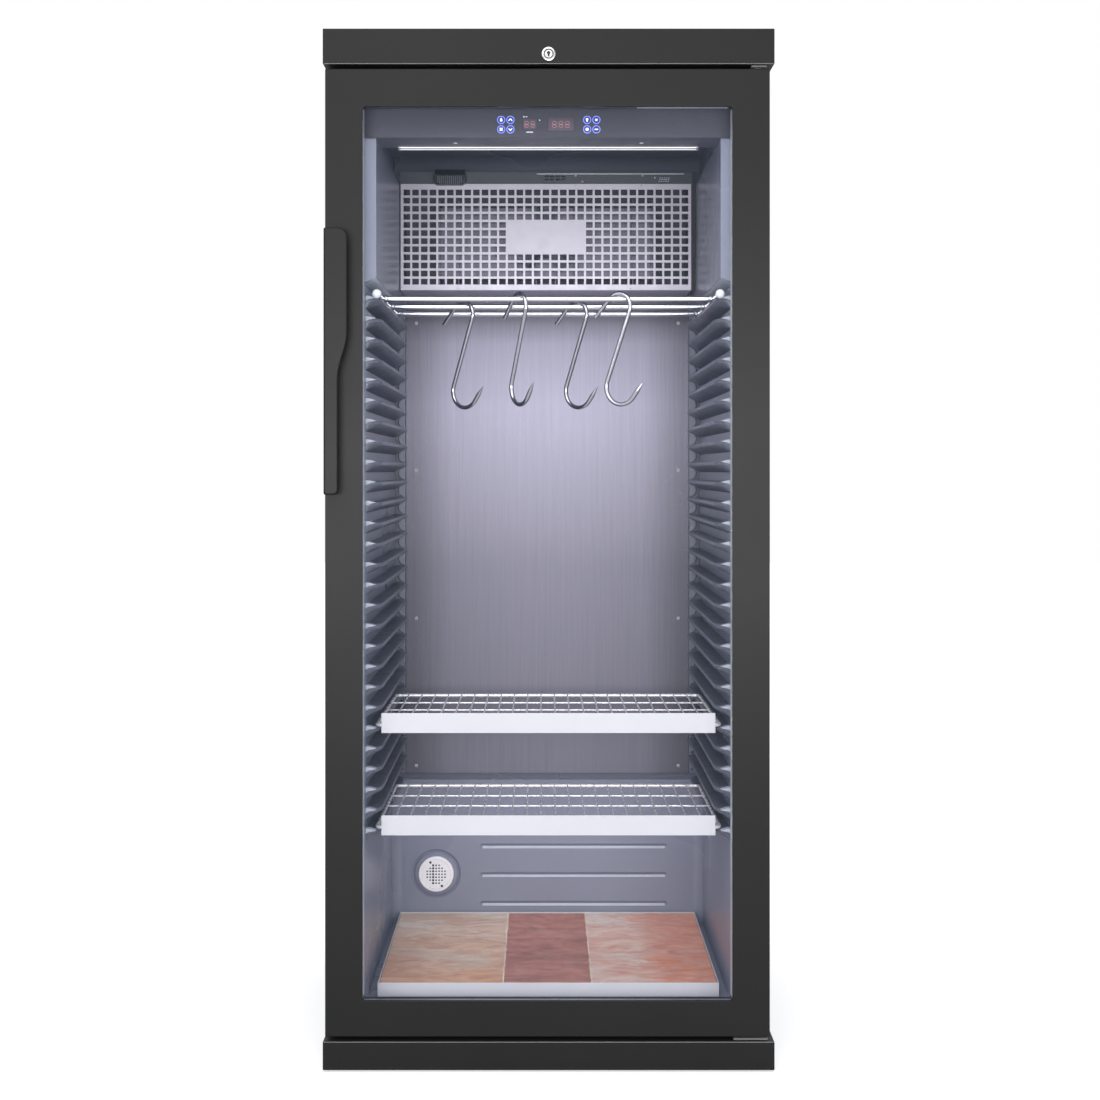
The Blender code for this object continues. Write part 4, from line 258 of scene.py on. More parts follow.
# Controls
CONTROL_FACE = 0.0648
FLAT_THICK = 0.0004
ICON_THICK = 0.0005
FACE_THICK = 0.0006
LAYER = 0.0001
KEY_RADIUS = 0.0073
KEY_RING = (0.98, 0.80)   # shares of the key's radius
KEY_DISC = 0.82
KEY_ICON = 0.60
KEY_COLUMNS = (-0.08335, -0.06705, 0.06805, 0.08435)
KEY_ROWS = (1.6515, 1.6349)
KEY_ICONS = ("drop", "menu", "up", "down", "lamp", "clock", "star", "bar")
DISPLAY_Z = 1.6435
SMALL_DISPLAY = (-0.0330, 0.0240, 0.0180)     # middle, width and height
LARGE_DISPLAY = (0.0220, 0.0460, 0.0230)
SMALL_DIGIT = (0.0062, 0.0098)
LARGE_DIGIT = (0.0066, 0.0110)
DIGIT_STROKE = 0.20       # share of a digit's width
DIGIT_GAP = 0.65          # what is left free at a stroke's ends, in stroke widths
SMALL_DIGIT_PLACES = (-0.0055, 0.0055)
LARGE_DIGIT_PLACES = (-0.0115, 0.0, 0.0115)
STATUS_STROKES = (
    ((-0.0445, 1.6580), (-0.0425, 1.6560), 0.0012),
    ((-0.0405, 1.6570), (-0.0370, 1.6570), 0.0008),
    ((-0.0165, 1.6520), (-0.0150, 1.6500), 0.0012),
    ((-0.0390, 1.6300), (-0.0270, 1.6300), 0.0009),
)

# Light bar
LIGHT_HALF = 0.2715
LIGHT_LOW = 1.6150
LIGHT_HIGH = 1.6200
LIGHT_DEPTH = (0.138, 0.150)
LIGHT_SHEET = 0.0012
LIGHT_CAP = 0.004
LIGHT_LIP = 0.0018
LIP_THICK = 0.0006

# Evaporator housing, its slots, trim and sensor cover
EVAP_X = -0.0034
EVAP_FRONT = 0.511
SLOT_ROWS = 3
SLOT_COLUMNS = 5
SLOT_X = 0.2300
SLOT_Z = 1.6350
SLOT_PITCH_X = 0.0044
SLOT_PITCH_Z = 0.0036
SLOT_SKEW = -0.0010
SLOT_WIDE = 0.0028
SLOT_TALL = 0.0018
# Thin rail over the fan cover, its white a painted highlight
TRIM_X = (-0.022, 0.280)
TRIM_Z = 1.6422
TRIM_RADIUS = 0.0010
TRIM_PROUD = 0.0009
GAP_FRONT = 0.513
GAP_REAR = 0.515
SENSOR_HOOD = 0.0125
SENSOR_RADIUS = 0.0085
SENSOR_FACE = 0.0022
HOOD_PROUD = 0.0006
HOOD_SLOPE = 0.006
HOOD_INSET = 0.002
SENSOR_RIBS = 13
SENSOR_RIB_PITCH = 0.0040
SENSOR_RIB_RADIUS = 0.0012
SENSOR_RIB_SINK = 0.0002
SENSOR_RIB_TOP = 0.0025
SENSOR_RIB_FOOT = 0.0015
SENSOR_END_FOOT = 0.004

# Hems and inner door frame
CAP_HALF = 0.3885
CAP_LOW = 1.733
PLINTH_HIGH = 0.052
HEM = 0.0009
FRAME_SIDE = 0.0080
FRAME_RAIL = 0.0028
FRAME_RADIUS = 0.006
FRAME_BEVEL = 0.0008
# Pale lines at the opening's side edges and a painted reflection along the right of its top edge: width, and
# where the reflection starts
FRAME_LINE = 0.0014
FRAME_LINE_START = 0.155

# Back panel
BACK_PANEL_DEPTH = 0.6435
PANEL_LOW = 0.392
PANEL_HIGH = 1.372
# Painted shade towards the back panel's sides: where it starts, where it ends and the share of colour left
PANEL_SHADE_START = 0.205
PANEL_SHADE_END = 0.285
PANEL_SIDE_SHADE = 0.62

# Lock
LOCK_Z = 1.750
LOCK_HEAD_RADIUS = 0.0125
LOCK_HEAD_PROUD = 0.003
LOCK_HEAD_ROUNDING = 0.0022
LOCK_BODY_RADIUS = 0.0095
LOCK_PLUG_RADIUS = 0.0070
LOCK_BORE_EDGE = 0.0006
LOCK_DEPTH = 0.026
LOCK_TAIL_RADIUS = 0.0035
LOCK_TAIL = 0.0035
LOCK_SHADE_WIDTH = 0.0016
PLUG_SET_BACK = 0.0004
PLUG_ROUNDING = 0.0005
KEYWAY_HALF = 0.0016
KEYWAY_DROP = 0.0050
KEYWAY_PIN = 0.0030
KEYWAY_FRONT = -0.010
KEYWAY_DEPTH = 0.007
PIN_DEPTH = 0.0072
KEYWAY_SHADE = (-0.0014, 0.0002)

# Screws: radius, and places in X and Z, or in X alone
SCREW_SINK = 0.0004
SCREW_OVER = 0.00012
SCREW_HEIGHT = 0.55       # of a head, in its radii
SCREW_RIM = 0.25          # share of the height at which the dome starts
DRIVE_ARM = 0.55          # half length and half width of the cross, in radii
DRIVE_WIDTH = 0.13
DRIVE_FLOOR = 0.80
PANEL_SCREW = 0.0034
PANEL_SCREW_X = 0.280
PANEL_SCREW_ROWS = (1.349, 1.034, 0.718, 0.403)
FASCIA_SCREW = 0.0036
FASCIA_SCREW_X = 0.1665
FASCIA_SCREW_DEPTH = 0.109
FASCIA_SCREW_Z = 1.6203
SMALL_SCREW = 0.0019
STRIP_SCREWS = ((0.0577, 1.639), (0.195, 1.639), (0.0715, 1.6265), (0.220, 1.6345))
COVER_SCREWS = ((-0.184, 1.4075), (0.170, 1.4075), (0.0577, 1.6185), (0.1915, 1.6185))
REAR_SCREW = 0.0042
REAR_SCREW_X = 0.372
REAR_SCREW_DEPTH = 0.736
REAR_SCREW_ROWS = (0.358, 0.80, 1.26, 1.718)
COVER_SCREW_ROWS = (0.064, 0.20, 0.334)

# Floor and backdrop
FLOOR_HALF = 14.0
FLOOR_GREY = (0.80, 0.80, 0.80)
FLOOR_SEEN_GREY = (0.75, 0.75, 0.75)
GLOW_START = 0.9          # distance from the middle where the floor starts to brighten
GLOW_END = 3.2
GLOW_NEAR = 0.56
GLOW_FAR = 1.0
BACKDROP_WHITE = (1, 1, 1)
BACKDROP_LIGHT = (0.42, 0.43, 0.46)


def at_depth(depth):
    return FRONT_Y + depth


# Scene and frame

for leftover in list(bpy.data.objects):
    bpy.data.objects.remove(leftover, do_unlink=True)
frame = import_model()
NODES = frame["nodes"]
BODY_OF = {node: body for body, nodes in frame["record"]["behaviour"]["bodies"].items() for node in nodes}
SLOT_OF = {row["node"]: row["material_slot"] for row in frame["record"]["subparts"]}
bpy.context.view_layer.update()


# Node trees

def feed(tree, socket, value):
    """Gives an input a number, a vector, a colour or another node's output."""
    if isinstance(value, bpy.types.NodeSocket):
        tree.links.new(value, socket)
    elif socket.type == "RGBA":
        socket.default_value = (*value, 1)
    else:
        socket.default_value = value


def add_node(tree, kind, inputs=(), **settings):
    """Adds a node; inputs gives a value or an output for each input's name or number."""
    node = tree.nodes.new(kind)
    for key, value in settings.items():
        setattr(node, key, value)
    for key, value in dict(inputs).items():
        feed(tree, node.inputs[key], value)
    return node


class Finish:
    """A node material built step by step around one Principled shader."""

    def __init__(self, name, colour, roughness, metallic=0.0):
        self.material = bpy.data.materials.new(name)
        self.material.use_nodes = True
        self.tree = self.material.node_tree
        self.shader = self.tree.nodes["Principled BSDF"]
        self.coordinates = None
        self.set(Base_Color=colour, Roughness=roughness, Metallic=metallic)

    def set(self, **values):
        for key, value in values.items():
            feed(self.tree, self.shader.inputs[key.replace("_", " ")], value)
        return self

    def made(self, kind, output, inputs=(), **settings):
        """Adds a node and returns one of its outputs."""
        return add_node(self.tree, kind, inputs, **settings).outputs[output]

    def place(self, scale=(1, 1, 1)):
        """Object coordinates, stretched by scale."""
        if self.coordinates is None:
            self.coordinates = self.made("ShaderNodeTexCoord", "Object")
        return self.made("ShaderNodeMapping", "Vector", {"Vector": self.coordinates, "Scale": scale})

    def noise(self, scale, detail=4.0, stretch=(1, 1, 1), distortion=0.0, rough=0.5):
        inputs = {"Vector": self.place(stretch), "Scale": scale, "Detail": detail, "Roughness": rough,
                  "Distortion": distortion}
        return self.made("ShaderNodeTexNoise", "Fac", inputs)

    def cells(self, scale):
        return self.made("ShaderNodeTexVoronoi", "Distance", {"Vector": self.place(), "Scale": scale},
                         feature="DISTANCE_TO_EDGE")

    def ramp(self, source, *stops):
        """Each stop is a position and a colour or a grey."""
        node = add_node(self.tree, "ShaderNodeValToRGB", {"Fac": source})
        elements = node.color_ramp.elements
        while len(elements) < len(stops):
            elements.new(0.5)
        for element, (position, value) in zip(elements, stops):
            element.position = position
            element.color = (*value, 1) if isinstance(value, tuple) else (value, value, value, 1)
        return node.outputs["Color"]

    def shades(self, source, dark, light):
        """Colours from dark to light over a noise."""
        return self.ramp(source, (NOISE_LOW, dark), (NOISE_HIGH, light))

    def scaled(self, source, low, high, to_low=0.0, to_high=1.0):
        inputs = {"Value": source, "From Min": low, "From Max": high, "To Min": to_low, "To Max": to_high}
        return self.made("ShaderNodeMapRange", "Result", inputs)

    def between(self, source, low, high):
        """Numbers from low to high over a noise."""
        return self.scaled(source, NOISE_LOW, NOISE_HIGH, low, high)

    def axis(self, name):
        """One object coordinate in metres."""
        return self.made("ShaderNodeSeparateXYZ", name, {"Vector": self.place()})

    def math(self, operation, *values):
        return self.made("ShaderNodeMath", "Value", enumerate(values), operation=operation)

    def mix(self, share, first, second, blend="MIX"):
        """Mix of two colours, each an output or a tuple; share is an output or a number."""
        inputs = {0: share, 6: first, 7: second}
        return self.made("ShaderNodeMix", 2, inputs, data_type="RGBA", blend_type=blend)

    def bump(self, source, strength, distance):
        inputs = {"Height": source, "Strength": strength, "Distance": distance}
        return self.set(Normal=self.made("ShaderNodeBump", "Normal", inputs))


# Finishes

def powder_coat(name, dark, light, roughness):
    """Satin coat with a fine orange-peel grain and faint large-scale unevenness."""
    finish = Finish(name, light, roughness)
    finish.set(Base_Color=finish.shades(finish.noise(3.0, 3.0), dark, light), Specular_IOR_Level=0.10,
               Roughness=finish.between(finish.noise(8.0, 2.0), roughness - 0.01, roughness + 0.015))
    return finish.bump(finish.noise(260.0, 2.0), 0.02, 0.0001)


def moulded(name, colour, roughness, grain=0.06, spread=0.07):
    """Moulded plastic: slight clouding and, if grain isn't zero, a very fine grain."""
    finish = Finish(name, colour, roughness)
    low = tuple(c * (1 - spread) for c in colour)
    high = tuple(min(1, c * (1 + spread)) for c in colour)
    finish.set(Base_Color=finish.shades(finish.noise(5.0, 4.0), low, high), Specular_IOR_Level=0.30,
               Roughness=finish.between(finish.noise(35.0, 3.0), roughness - 0.05, roughness + 0.05))
    return finish.bump(finish.noise(300.0, 2.0), grain * 0.3, 0.00005) if grain else finish


def polished(name, colour, roughness):
    """Polished plating with faint drawing marks."""
    finish = Finish(name, colour, roughness, 1.0)
    finish.set(Roughness=finish.between(finish.noise(90.0, 4.0), roughness * 0.7, roughness * 1.5))
    return finish.bump(finish.noise(700.0, 3.0), 0.03, 0.00005)


def brushed_panel():
    """Vertically brushed sheet, a little violet, with painted shade towards its sides and foot, a painted
    shadow of the evaporator housing along its top edge and a painted pool of light above its middle.
    """
    finish = Finish("brushed_panel", (0.40, 0.38, 0.47), 0.50, 0.06)
    streaks = finish.noise(420.0, 4.0, (1.0, 1.0, 0.012))
    tone = finish.shades(streaks, (0.405, 0.386, 0.485), (0.475, 0.453, 0.560))
    # painted shade: darker towards the sides
    off_middle = finish.math("ABSOLUTE", finish.axis("X"))
    sides = finish.scaled(off_middle, PANEL_SHADE_START, PANEL_SHADE_END, 1.0, PANEL_SIDE_SHADE)
    # painted light and shade up the panel: a dark foot, a painted pool of light at about four fifths of its
    # height and a painted shadow of the housing at its top edge
    up = finish.ramp(finish.scaled(finish.axis("Z"), PANEL_LOW, PANEL_HIGH),
                     (0.0, 0.44), (0.45, 0.56), (0.80, 0.93), (0.93, 0.74), (0.985, 0.38))
    finish.set(Base_Color=finish.mix(1.0, tone, finish.math("MULTIPLY", sides, up), "MULTIPLY"),
               Roughness=finish.between(streaks, 0.40, 0.52), Specular_IOR_Level=0.12)
    return finish.bump(streaks, 0.04, 0.0001)


def salt(name, tones, veins, vein_colour, scale, stretch=(1, 1, 1), warm=None):
    """Cut salt: cloudy tones, flecks, rusty veins and painted glints; warm is an axis and the limits of a
    redder zone.
    """
    finish = Finish(name, tones[1], 0.42)
    clouds = finish.noise(scale, 7.0, stretch, 1.2, 0.62)
    base = finish.ramp(clouds, (0.30, tones[0]), (0.48, tones[1]), (0.66, tones[2]))
    if warm:
        axis, start, end = warm
        zone = finish.math("ADD", finish.axis(axis), finish.between(clouds, -0.05, 0.05))
        base = finish.mix(finish.scaled(zone, start, end, 0.0, 0.80), base, tones[0])
    crystal = finish.noise(240.0, 5.0, (1, 1, 1), 0.4, 0.7)
    mottled = finish.mix(0.30, base, finish.ramp(crystal, (0.35, 0.25), (0.65, 0.85)), "OVERLAY")
    grain = finish.noise(26.0, 10.0, (0.42, 1.0, 1.0), 1.6, 0.74)
    mottled = finish.mix(0.50, mottled, finish.ramp(grain, (0.34, 0.18), (0.66, 0.84)), "OVERLAY")
    flecks = finish.ramp(finish.noise(150.0, 4.0, (0.6, 1.0, 1.0), 0.5, 0.7), (0.60, 0.0), (0.68, 1.0))
    mottled = finish.mix(finish.math("MULTIPLY", flecks, 0.45), mottled, vein_colour)
    mask = finish.noise(veins, 8.0, stretch, 2.6, 0.66)
    streak = finish.ramp(mask, (0.47, 0.0), (0.505, 0.75), (0.54, 0.0))
    patches = finish.ramp(finish.noise(veins * 0.6, 3.0, (1, 1, 1), 0.6), (0.48, 0.0), (0.66, 1.0))
    mottled = finish.mix(finish.math("MULTIPLY", streak, patches), mottled, vein_colour)
    glints = finish.ramp(finish.noise(900.0, 2.0), (0.66, 0.0), (0.78, 1.0))
    finish.set(Base_Color=finish.mix(finish.math("MULTIPLY", glints, 0.35), mottled, (0.92, 0.80, 0.74)),
               Roughness=finish.between(crystal, 0.30, 0.60),
               Subsurface_Weight=0.10, Subsurface_Scale=0.008)
    return finish.bump(finish.mix(0.5, crystal, clouds), 0.30, 0.0008)


def plated_wire():
    """Bright zinc-plated wire, half matt."""
    finish = Finish("plated_wire", (0.80, 0.81, 0.84), 0.28, 0.45)
    tone = finish.noise(120.0, 3.0)
    return finish.set(Base_Color=finish.shades(tone, (0.72, 0.73, 0.76), (0.84, 0.85, 0.88)),
                      Roughness=finish.between(tone, 0.22, 0.34))


def glowing(name, colour, strength):
    """Lit plastic with a faint grain in its glow."""
    finish = Finish(name, colour, 0.4)
    dim = tuple(c * 0.94 for c in colour)
    return finish.set(Emission_Color=finish.ramp(finish.noise(300.0, 2.0), (0.2, dim), (0.8, colour)),
                      Emission_Strength=strength)


def clear_glass():
    """Clear pane: almost fully see-through, with a faint cold tint and smudges in its gloss."""
    finish = Finish("clear_glass", (0.10, 0.13, 0.17), 0.02)
    smudges = finish.between(finish.noise(6.0, 5.0), 0.01, 0.06)
    return finish.set(Alpha=0.030, Specular_IOR_Level=0.03, Roughness=smudges)


def rubber():
    finish = Finish("gasket_rubber", (0.020, 0.020, 0.022), 0.62)
    clouds = finish.noise(12.0, 5.0)
    finish.set(Base_Color=finish.shades(clouds, (0.014, 0.014, 0.015), (0.030, 0.030, 0.032)))
    return finish.bump(finish.noise(800.0, 3.0), 0.15, 0.0003)


def foam_block():
    finish = Finish("cut_foam", (0.72, 0.64, 0.40), 0.9)
    finish.set(Base_Color=finish.shades(finish.noise(8.0, 6.0), (0.62, 0.54, 0.32), (0.78, 0.71, 0.47)))
    return finish.bump(finish.cells(700.0), 0.5, 0.0008)


def finned(name, colour):
    """Thin metal fins, streaked along their height."""
    finish = Finish(name, colour, 0.34, 1.0)
    finish.set(Roughness=finish.between(finish.noise(200.0, 4.0, (1, 1, 0.1)), 0.26, 0.44))
    return finish.bump(finish.noise(500.0, 3.0, (4, 1, 0.1)), 0.2, 0.0003)


def cover_plate():
    """Lavender grey metallic paint of the perforated cover."""
    finish = Finish("cover_plate", (0.40, 0.37, 0.45), 0.42, 0.25)
    speckle = finish.noise(260.0, 2.0)
    finish.set(Base_Color=finish.shades(speckle, (0.47, 0.445, 0.520), (0.53, 0.50, 0.58)),
               Roughness=finish.between(finish.noise(40.0, 3.0), 0.36, 0.50))
    return finish.bump(speckle, 0.03, 0.0002)


def liner_finish():
    """Slate, slightly glossy vacuum-formed sheet."""
    finish = Finish("liner_sheet", (0.190, 0.205, 0.265), 0.30)
    clouds = finish.noise(2.2, 3.0)
    finish.set(Base_Color=finish.shades(clouds, (0.194, 0.209, 0.276), (0.213, 0.229, 0.302)),
               Roughness=finish.between(finish.noise(3.0, 2.0), 0.26, 0.32), Specular_IOR_Level=0.38)
    return finish.bump(finish.noise(70.0, 2.0), 0.015, 0.0002)


COAT_TONES = ((0.0185, 0.0185, 0.0182), (0.0205, 0.0205, 0.0201))
FINISHES = {
    "charcoal_paint": powder_coat("charcoal_coat", *COAT_TONES, 0.42),
    "door_paint": powder_coat("door_coat", *COAT_TONES, 0.42),
    "grey_steel": powder_coat("grey_sheet", (0.268, 0.273, 0.278), (0.292, 0.297, 0.302), 0.44),
    "liner_plastic": liner_finish(),
    "foam": foam_block(),
    "chrome": polished("chrome_plate", (0.82, 0.82, 0.86), 0.10),
    "stainless": polished("steel_sheet", (0.60, 0.60, 0.62), 0.30),
    "glass": clear_glass(),
    "aluminium": finned("fin_metal", (0.70, 0.71, 0.74)),
    "fascia_plastic": moulded("fascia_sheet", (0.078, 0.080, 0.115), 0.46, 0.0, 0.03),
    "display_plastic": moulded("display_window", (0.016, 0.016, 0.026), 0.18),
    "light_diffuser": glowing("lit_diffuser", (0.94, 0.96, 1.0), 0.80),
    "white_plastic": moulded("white_moulding", (0.57, 0.57, 0.61), 0.38, 0.0, 0.02),
    "black_rubber": rubber(),
    "black_plastic": moulded("black_moulding", (0.014, 0.014, 0.018), 0.32),
    "black_metal": powder_coat("black_can", (0.012, 0.012, 0.012), (0.022, 0.022, 0.022), 0.38),
    "cover_paint": cover_plate(),
    "salt": salt("salt_pink", ((0.62, 0.245, 0.165), (0.68, 0.46, 0.395), (0.68, 0.58, 0.53)), 7.0,
                 (0.74, 0.19, 0.06), 6.0, (0.7, 1.0, 1.0), ("X", 0.165, 0.235)),
    "rose_salt": salt("salt_rose", ((0.29, 0.115, 0.088), (0.385, 0.165, 0.138), (0.43, 0.21, 0.18)), 10.0,
                      (0.52, 0.22, 0.14), 12.0),
    "sand_salt": salt("salt_sand", ((0.57, 0.31, 0.205), (0.61, 0.42, 0.33), (0.60, 0.50, 0.44)), 6.0,
                      (0.60, 0.34, 0.12), 5.0, (0.45, 1.5, 1.0), ("Y", -0.060, -0.200)),
}
EXTRA = {
    "back_panel": brushed_panel(),
    "housing": moulded("housing_sheet", (0.066, 0.067, 0.086), 0.42, 0.0, 0.04),
    "coil_coat": finned("coated_fin", (0.135, 0.132, 0.160)),
    "hook_steel": polished("hook_steel", (0.54, 0.54, 0.58), 0.13),
    "frame_edge_and_reflection": moulded("frame_edge_and_reflection", (0.74, 0.78, 0.86), 0.35, 0.03, 0.02),
    "frame_body": moulded("frame_body", (0.030, 0.032, 0.038), 0.35, 0.03, 0.03),
    # a darker copy of the liner's colour: painted shade on the ribs and their arched borders
    "rib_shaded_sheet": moulded("rib_shaded_sheet", (0.115, 0.124, 0.162), 0.34, 0.0, 0.04),
    # pale plastic: the real pale marks on the evaporator strip, and painted highlights and painted light on
    # rib fronts, grooves, panel edges and bulge undersides
    "pale_marks_and_painted_light": moulded("pale_marks_and_painted_light", (0.46, 0.50, 0.58), 0.30, 0.0, 0.04),
    "key_ring": glowing("key_ring_glow", (0.20, 0.27, 0.95), 1.10),
    "key_face": glowing("key_face", (0.018, 0.020, 0.180), 0.45),
    "icon": glowing("icon_glow", (0.80, 0.84, 1.0), 1.5),
    "digit": glowing("digit_glow", (0.95, 0.16, 0.20), 0.9),
    "digit_off": moulded("digit_off", (0.52, 0.38, 0.46), 0.4, 0.0, 0.03),
    "display_face": moulded("display_face", (0.165, 0.135, 0.175), 0.30, 0.0, 0.03),
    "screw": moulded("screw_plate", (0.66, 0.66, 0.70), 0.30, 0.03, 0.02),
    # black painted shade: in screw drives, the keyway, gaps and shadow lines
    "painted_shade": moulded("black_painted_shade", (0.02, 0.02, 0.02), 0.6),
    "wire": plated_wire(),
    "bracket": powder_coat("bracket_zinc", (0.20, 0.20, 0.205), (0.26, 0.26, 0.265), 0.40),
    "lock_chrome": polished("lock_chrome", (0.42, 0.42, 0.43), 0.24),
    "lock_shade": moulded("lock_shade", (0.09, 0.09, 0.09), 0.4, 0.0, 0.02),
    "cap_white": moulded("cap_white", (0.87, 0.87, 0.91), 0.34, 0.03, 0.02),
    "white_knob": moulded("white_knob", (0.80, 0.81, 0.86), 0.28, 0.05, 0.02),
    "crumbs": salt("salt_crumbs", ((0.52, 0.40, 0.33), (0.66, 0.55, 0.48), (0.78, 0.70, 0.64)), 30.0,
                   (0.60, 0.34, 0.20), 30.0),
    "trim_painted_highlight": moulded("trim_painted_highlight", (0.80, 0.81, 0.86), 0.25, 0.02, 0.02),
    "hem_highlight": powder_coat("hem_highlight_coat", (0.20, 0.20, 0.20), (0.24, 0.24, 0.24), 0.40),
    "grille_highlight": moulded("grille_rib_highlight", (0.17, 0.17, 0.20), 0.30, 0.03, 0.05),
    "fan_grey": moulded("fan_moulding", (0.060, 0.060, 0.072), 0.42),
}
CARRIED = {
    "evaporator_coil": EXTRA["coil_coat"],
    "evaporator_fan": EXTRA["fan_grey"],
    "evaporator_fan_motor": EXTRA["fan_grey"],
}


# Objects

def bake(obj):
    graph = bpy.context.evaluated_depsgraph_get()
    mesh = bpy.data.meshes.new_from_object(obj.evaluated_get(graph))
    obj.modifiers.clear()
    obj.data = mesh
    return obj


def round_edges(obj, width, segments, angle):
    modifier = obj.modifiers.new("edges", "BEVEL")
    modifier.width = width
    modifier.segments = segments
    modifier.limit_method = "ANGLE"
    modifier.angle_limit = math.radians(angle)
    return bake(obj)


def solid(name, bm, bevel=0.0, segments=3, angle=30):
    """Turns a bmesh into an object, with rounded edges if bevel isn't zero."""
    bmesh.ops.recalc_face_normals(bm, faces=bm.faces)
    mesh = bpy.data.meshes.new(name)
    bm.to_mesh(mesh)
    bm.free()
    obj = bpy.data.objects.new(name, mesh)
    bpy.context.scene.collection.objects.link(obj)
    return round_edges(obj, bevel, segments, angle) if bevel else obj


def dress(obj, finish, body="cabinet", replaced=(), sharp_deg=35):
    """Gives an object its finish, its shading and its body."""
    obj.data.materials.clear()
    obj.data.materials.append(finish.material)
    for polygon in obj.data.polygons:
        polygon.use_smooth = True
    obj.data.set_sharp_from_angle(angle=math.radians(sharp_deg))
    obj.modifiers.new("normals", "WEIGHTED_NORMAL").keep_sharp = True
    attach(obj, body)
    if replaced:
        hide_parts(*replaced)


def piece(name, bm, finish, slot, body="cabinet", sharp_deg=35, **edges):
    """A detail of its own, with rounded edges if edges gives a bevel."""
    dress(solid(name, bm, **edges), finish, body, (), sharp_deg)


def dress_as(node, obj, finish=None, sharp_deg=40):
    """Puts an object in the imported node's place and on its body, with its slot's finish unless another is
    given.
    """
    slot = SLOT_OF[node]
    dress(obj, finish or FINISHES[slot], BODY_OF[node], (node,), sharp_deg)


def stand_in(node, bm, finish=None, sharp_deg=40, **edges):
    dress_as(node, solid(f"{node}_form", bm, **edges), finish, sharp_deg)


def refined(node, finish=None, **edges):
    """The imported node's own form with its edges rounded, in its place."""
    bm = bmesh.new()
    bm.from_mesh(NODES[node].data)
    bmesh.ops.remove_doubles(bm, verts=bm.verts, dist=WELD)
    bmesh.ops.dissolve_limit(bm, angle_limit=math.radians(0.5), verts=bm.verts, edges=bm.edges)
    stand_in(node, bm, finish, **edges)


def boolean(obj, other, operation="DIFFERENCE"):
    modifier = obj.modifiers.new("cut", "BOOLEAN")
    modifier.operation = operation
    modifier.solver = "EXACT"
    modifier.object = other
    bake(obj)
    bpy.data.objects.remove(other, do_unlink=True)


# Outlines and forms

def arc(centre, radius, start_deg, end_deg, steps):
    angles = [math.radians(start_deg + (end_deg - start_deg) * i / steps) for i in range(steps + 1)]
    return [(centre[0] + radius * math.cos(a), centre[1] + radius * math.sin(a)) for a in angles]


def circle(centre, radius, sides):
    return arc(centre, radius, 0, 360, sides)[:-1]


def rectangle(x, y):
    return [(x[0], y[0]), (x[1], y[0]), (x[1], y[1]), (x[0], y[1])]


def round_rectangle(x, y, radius, steps):
    """Outline with round corners between two limits in x and two in y."""
    outline = []
    for k, (i, j) in enumerate(((1, 1), (0, 1), (0, 0), (1, 0))):
        centre = (x[i] + radius * (1 - 2 * i), y[j] + radius * (1 - 2 * j))
        outline += arc(centre, radius, 90 * k, 90 * k + 90, steps)
    return outline


def stroke(start, end, width):
    """Outline of a straight stroke with square ends."""
    a, b = Vector(start), Vector(end)
    side = (b - a).orthogonal().normalized() * width / 2
    return [tuple(a - side), tuple(b - side), tuple(b + side), tuple(a + side)]


def sided(side, a, b):
    """Two distances from the middle as sorted X limits on the given side."""
    return sorted((side * a, side * b))


def frame_of(axis):
    """Across, up and along vectors for a form that runs along the named axis."""
    return {"X": (Vector((0, 1, 0)), Vector((0, 0, 1)), Vector((1, 0, 0))),
            "Y": (Vector((1, 0, 0)), Vector((0, 0, 1)), Vector((0, 1, 0))),
            "Z": (Vector((1, 0, 0)), Vector((0, 1, 0)), Vector((0, 0, 1)))}[axis]


def bridge(bm, first, second):
    """Quads between two closed rows of as many points."""
    count = len(first)
    for i in range(count):
        j = (i + 1) % count
        bm.faces.new((first[i], first[j], second[j], second[i]))


def ring(bm, centre, across, up, radius, sides):
    angles = [math.tau * i / sides for i in range(sides)]
    return [bm.verts.new(centre + (across * math.cos(a) + up * math.sin(a)) * radius) for a in angles]


def add_box(bm, x, y, z):
    corners = [bm.verts.new((x[i], y[j], z[k])) for i in (0, 1) for j in (0, 1) for k in (0, 1)]
    for face in ((0, 1, 3, 2), (4, 6, 7, 5), (0, 4, 5, 1), (2, 3, 7, 6), (0, 2, 6, 4), (1, 5, 7, 3)):
        bm.faces.new([corners[i] for i in face])


def add_prism(bm, outline, axis, low, high):
    across, up, along = frame_of(axis)
    near, far = [[bm.verts.new(across * a + up * b + along * reach) for a, b in outline]
                 for reach in (low, high)]
    bm.faces.new(near)
    bm.faces.new(far[::-1])
    bridge(bm, near, far)


def add_turned(bm, profile, axis, centre, sides):
    """Turns a profile of (radius, along) points round an axis through centre."""
    across, up, along = frame_of(axis)
    rings = []
    for radius, reach in profile:
        middle = across * centre[0] + up * centre[1] + along * reach
        rings.append(ring(bm, middle, across, up, radius, sides) if radius else [bm.verts.new(middle)])
    closed = profile[0][0] != 0 and profile[-1][0] != 0
    for first, second in list(zip(rings, rings[1:])) + ([(rings[-1], rings[0])] if closed else []):
        for i in range(sides):
            j = (i + 1) % sides
            corners = [first[i % len(first)], first[j % len(first)]]
            corners += [second[j % len(second)], second[i % len(second)]]
            corners = list(dict.fromkeys(corners))
            if len(corners) > 2:
                bm.faces.new(corners)


def add_flat_ring(bm, centre, outer, inner, low, high, sides):
    """A flat ring that faces the front."""
    add_turned(bm, [(outer, low), (outer, high), (inner, high), (inner, low)], "Y", centre, sides)


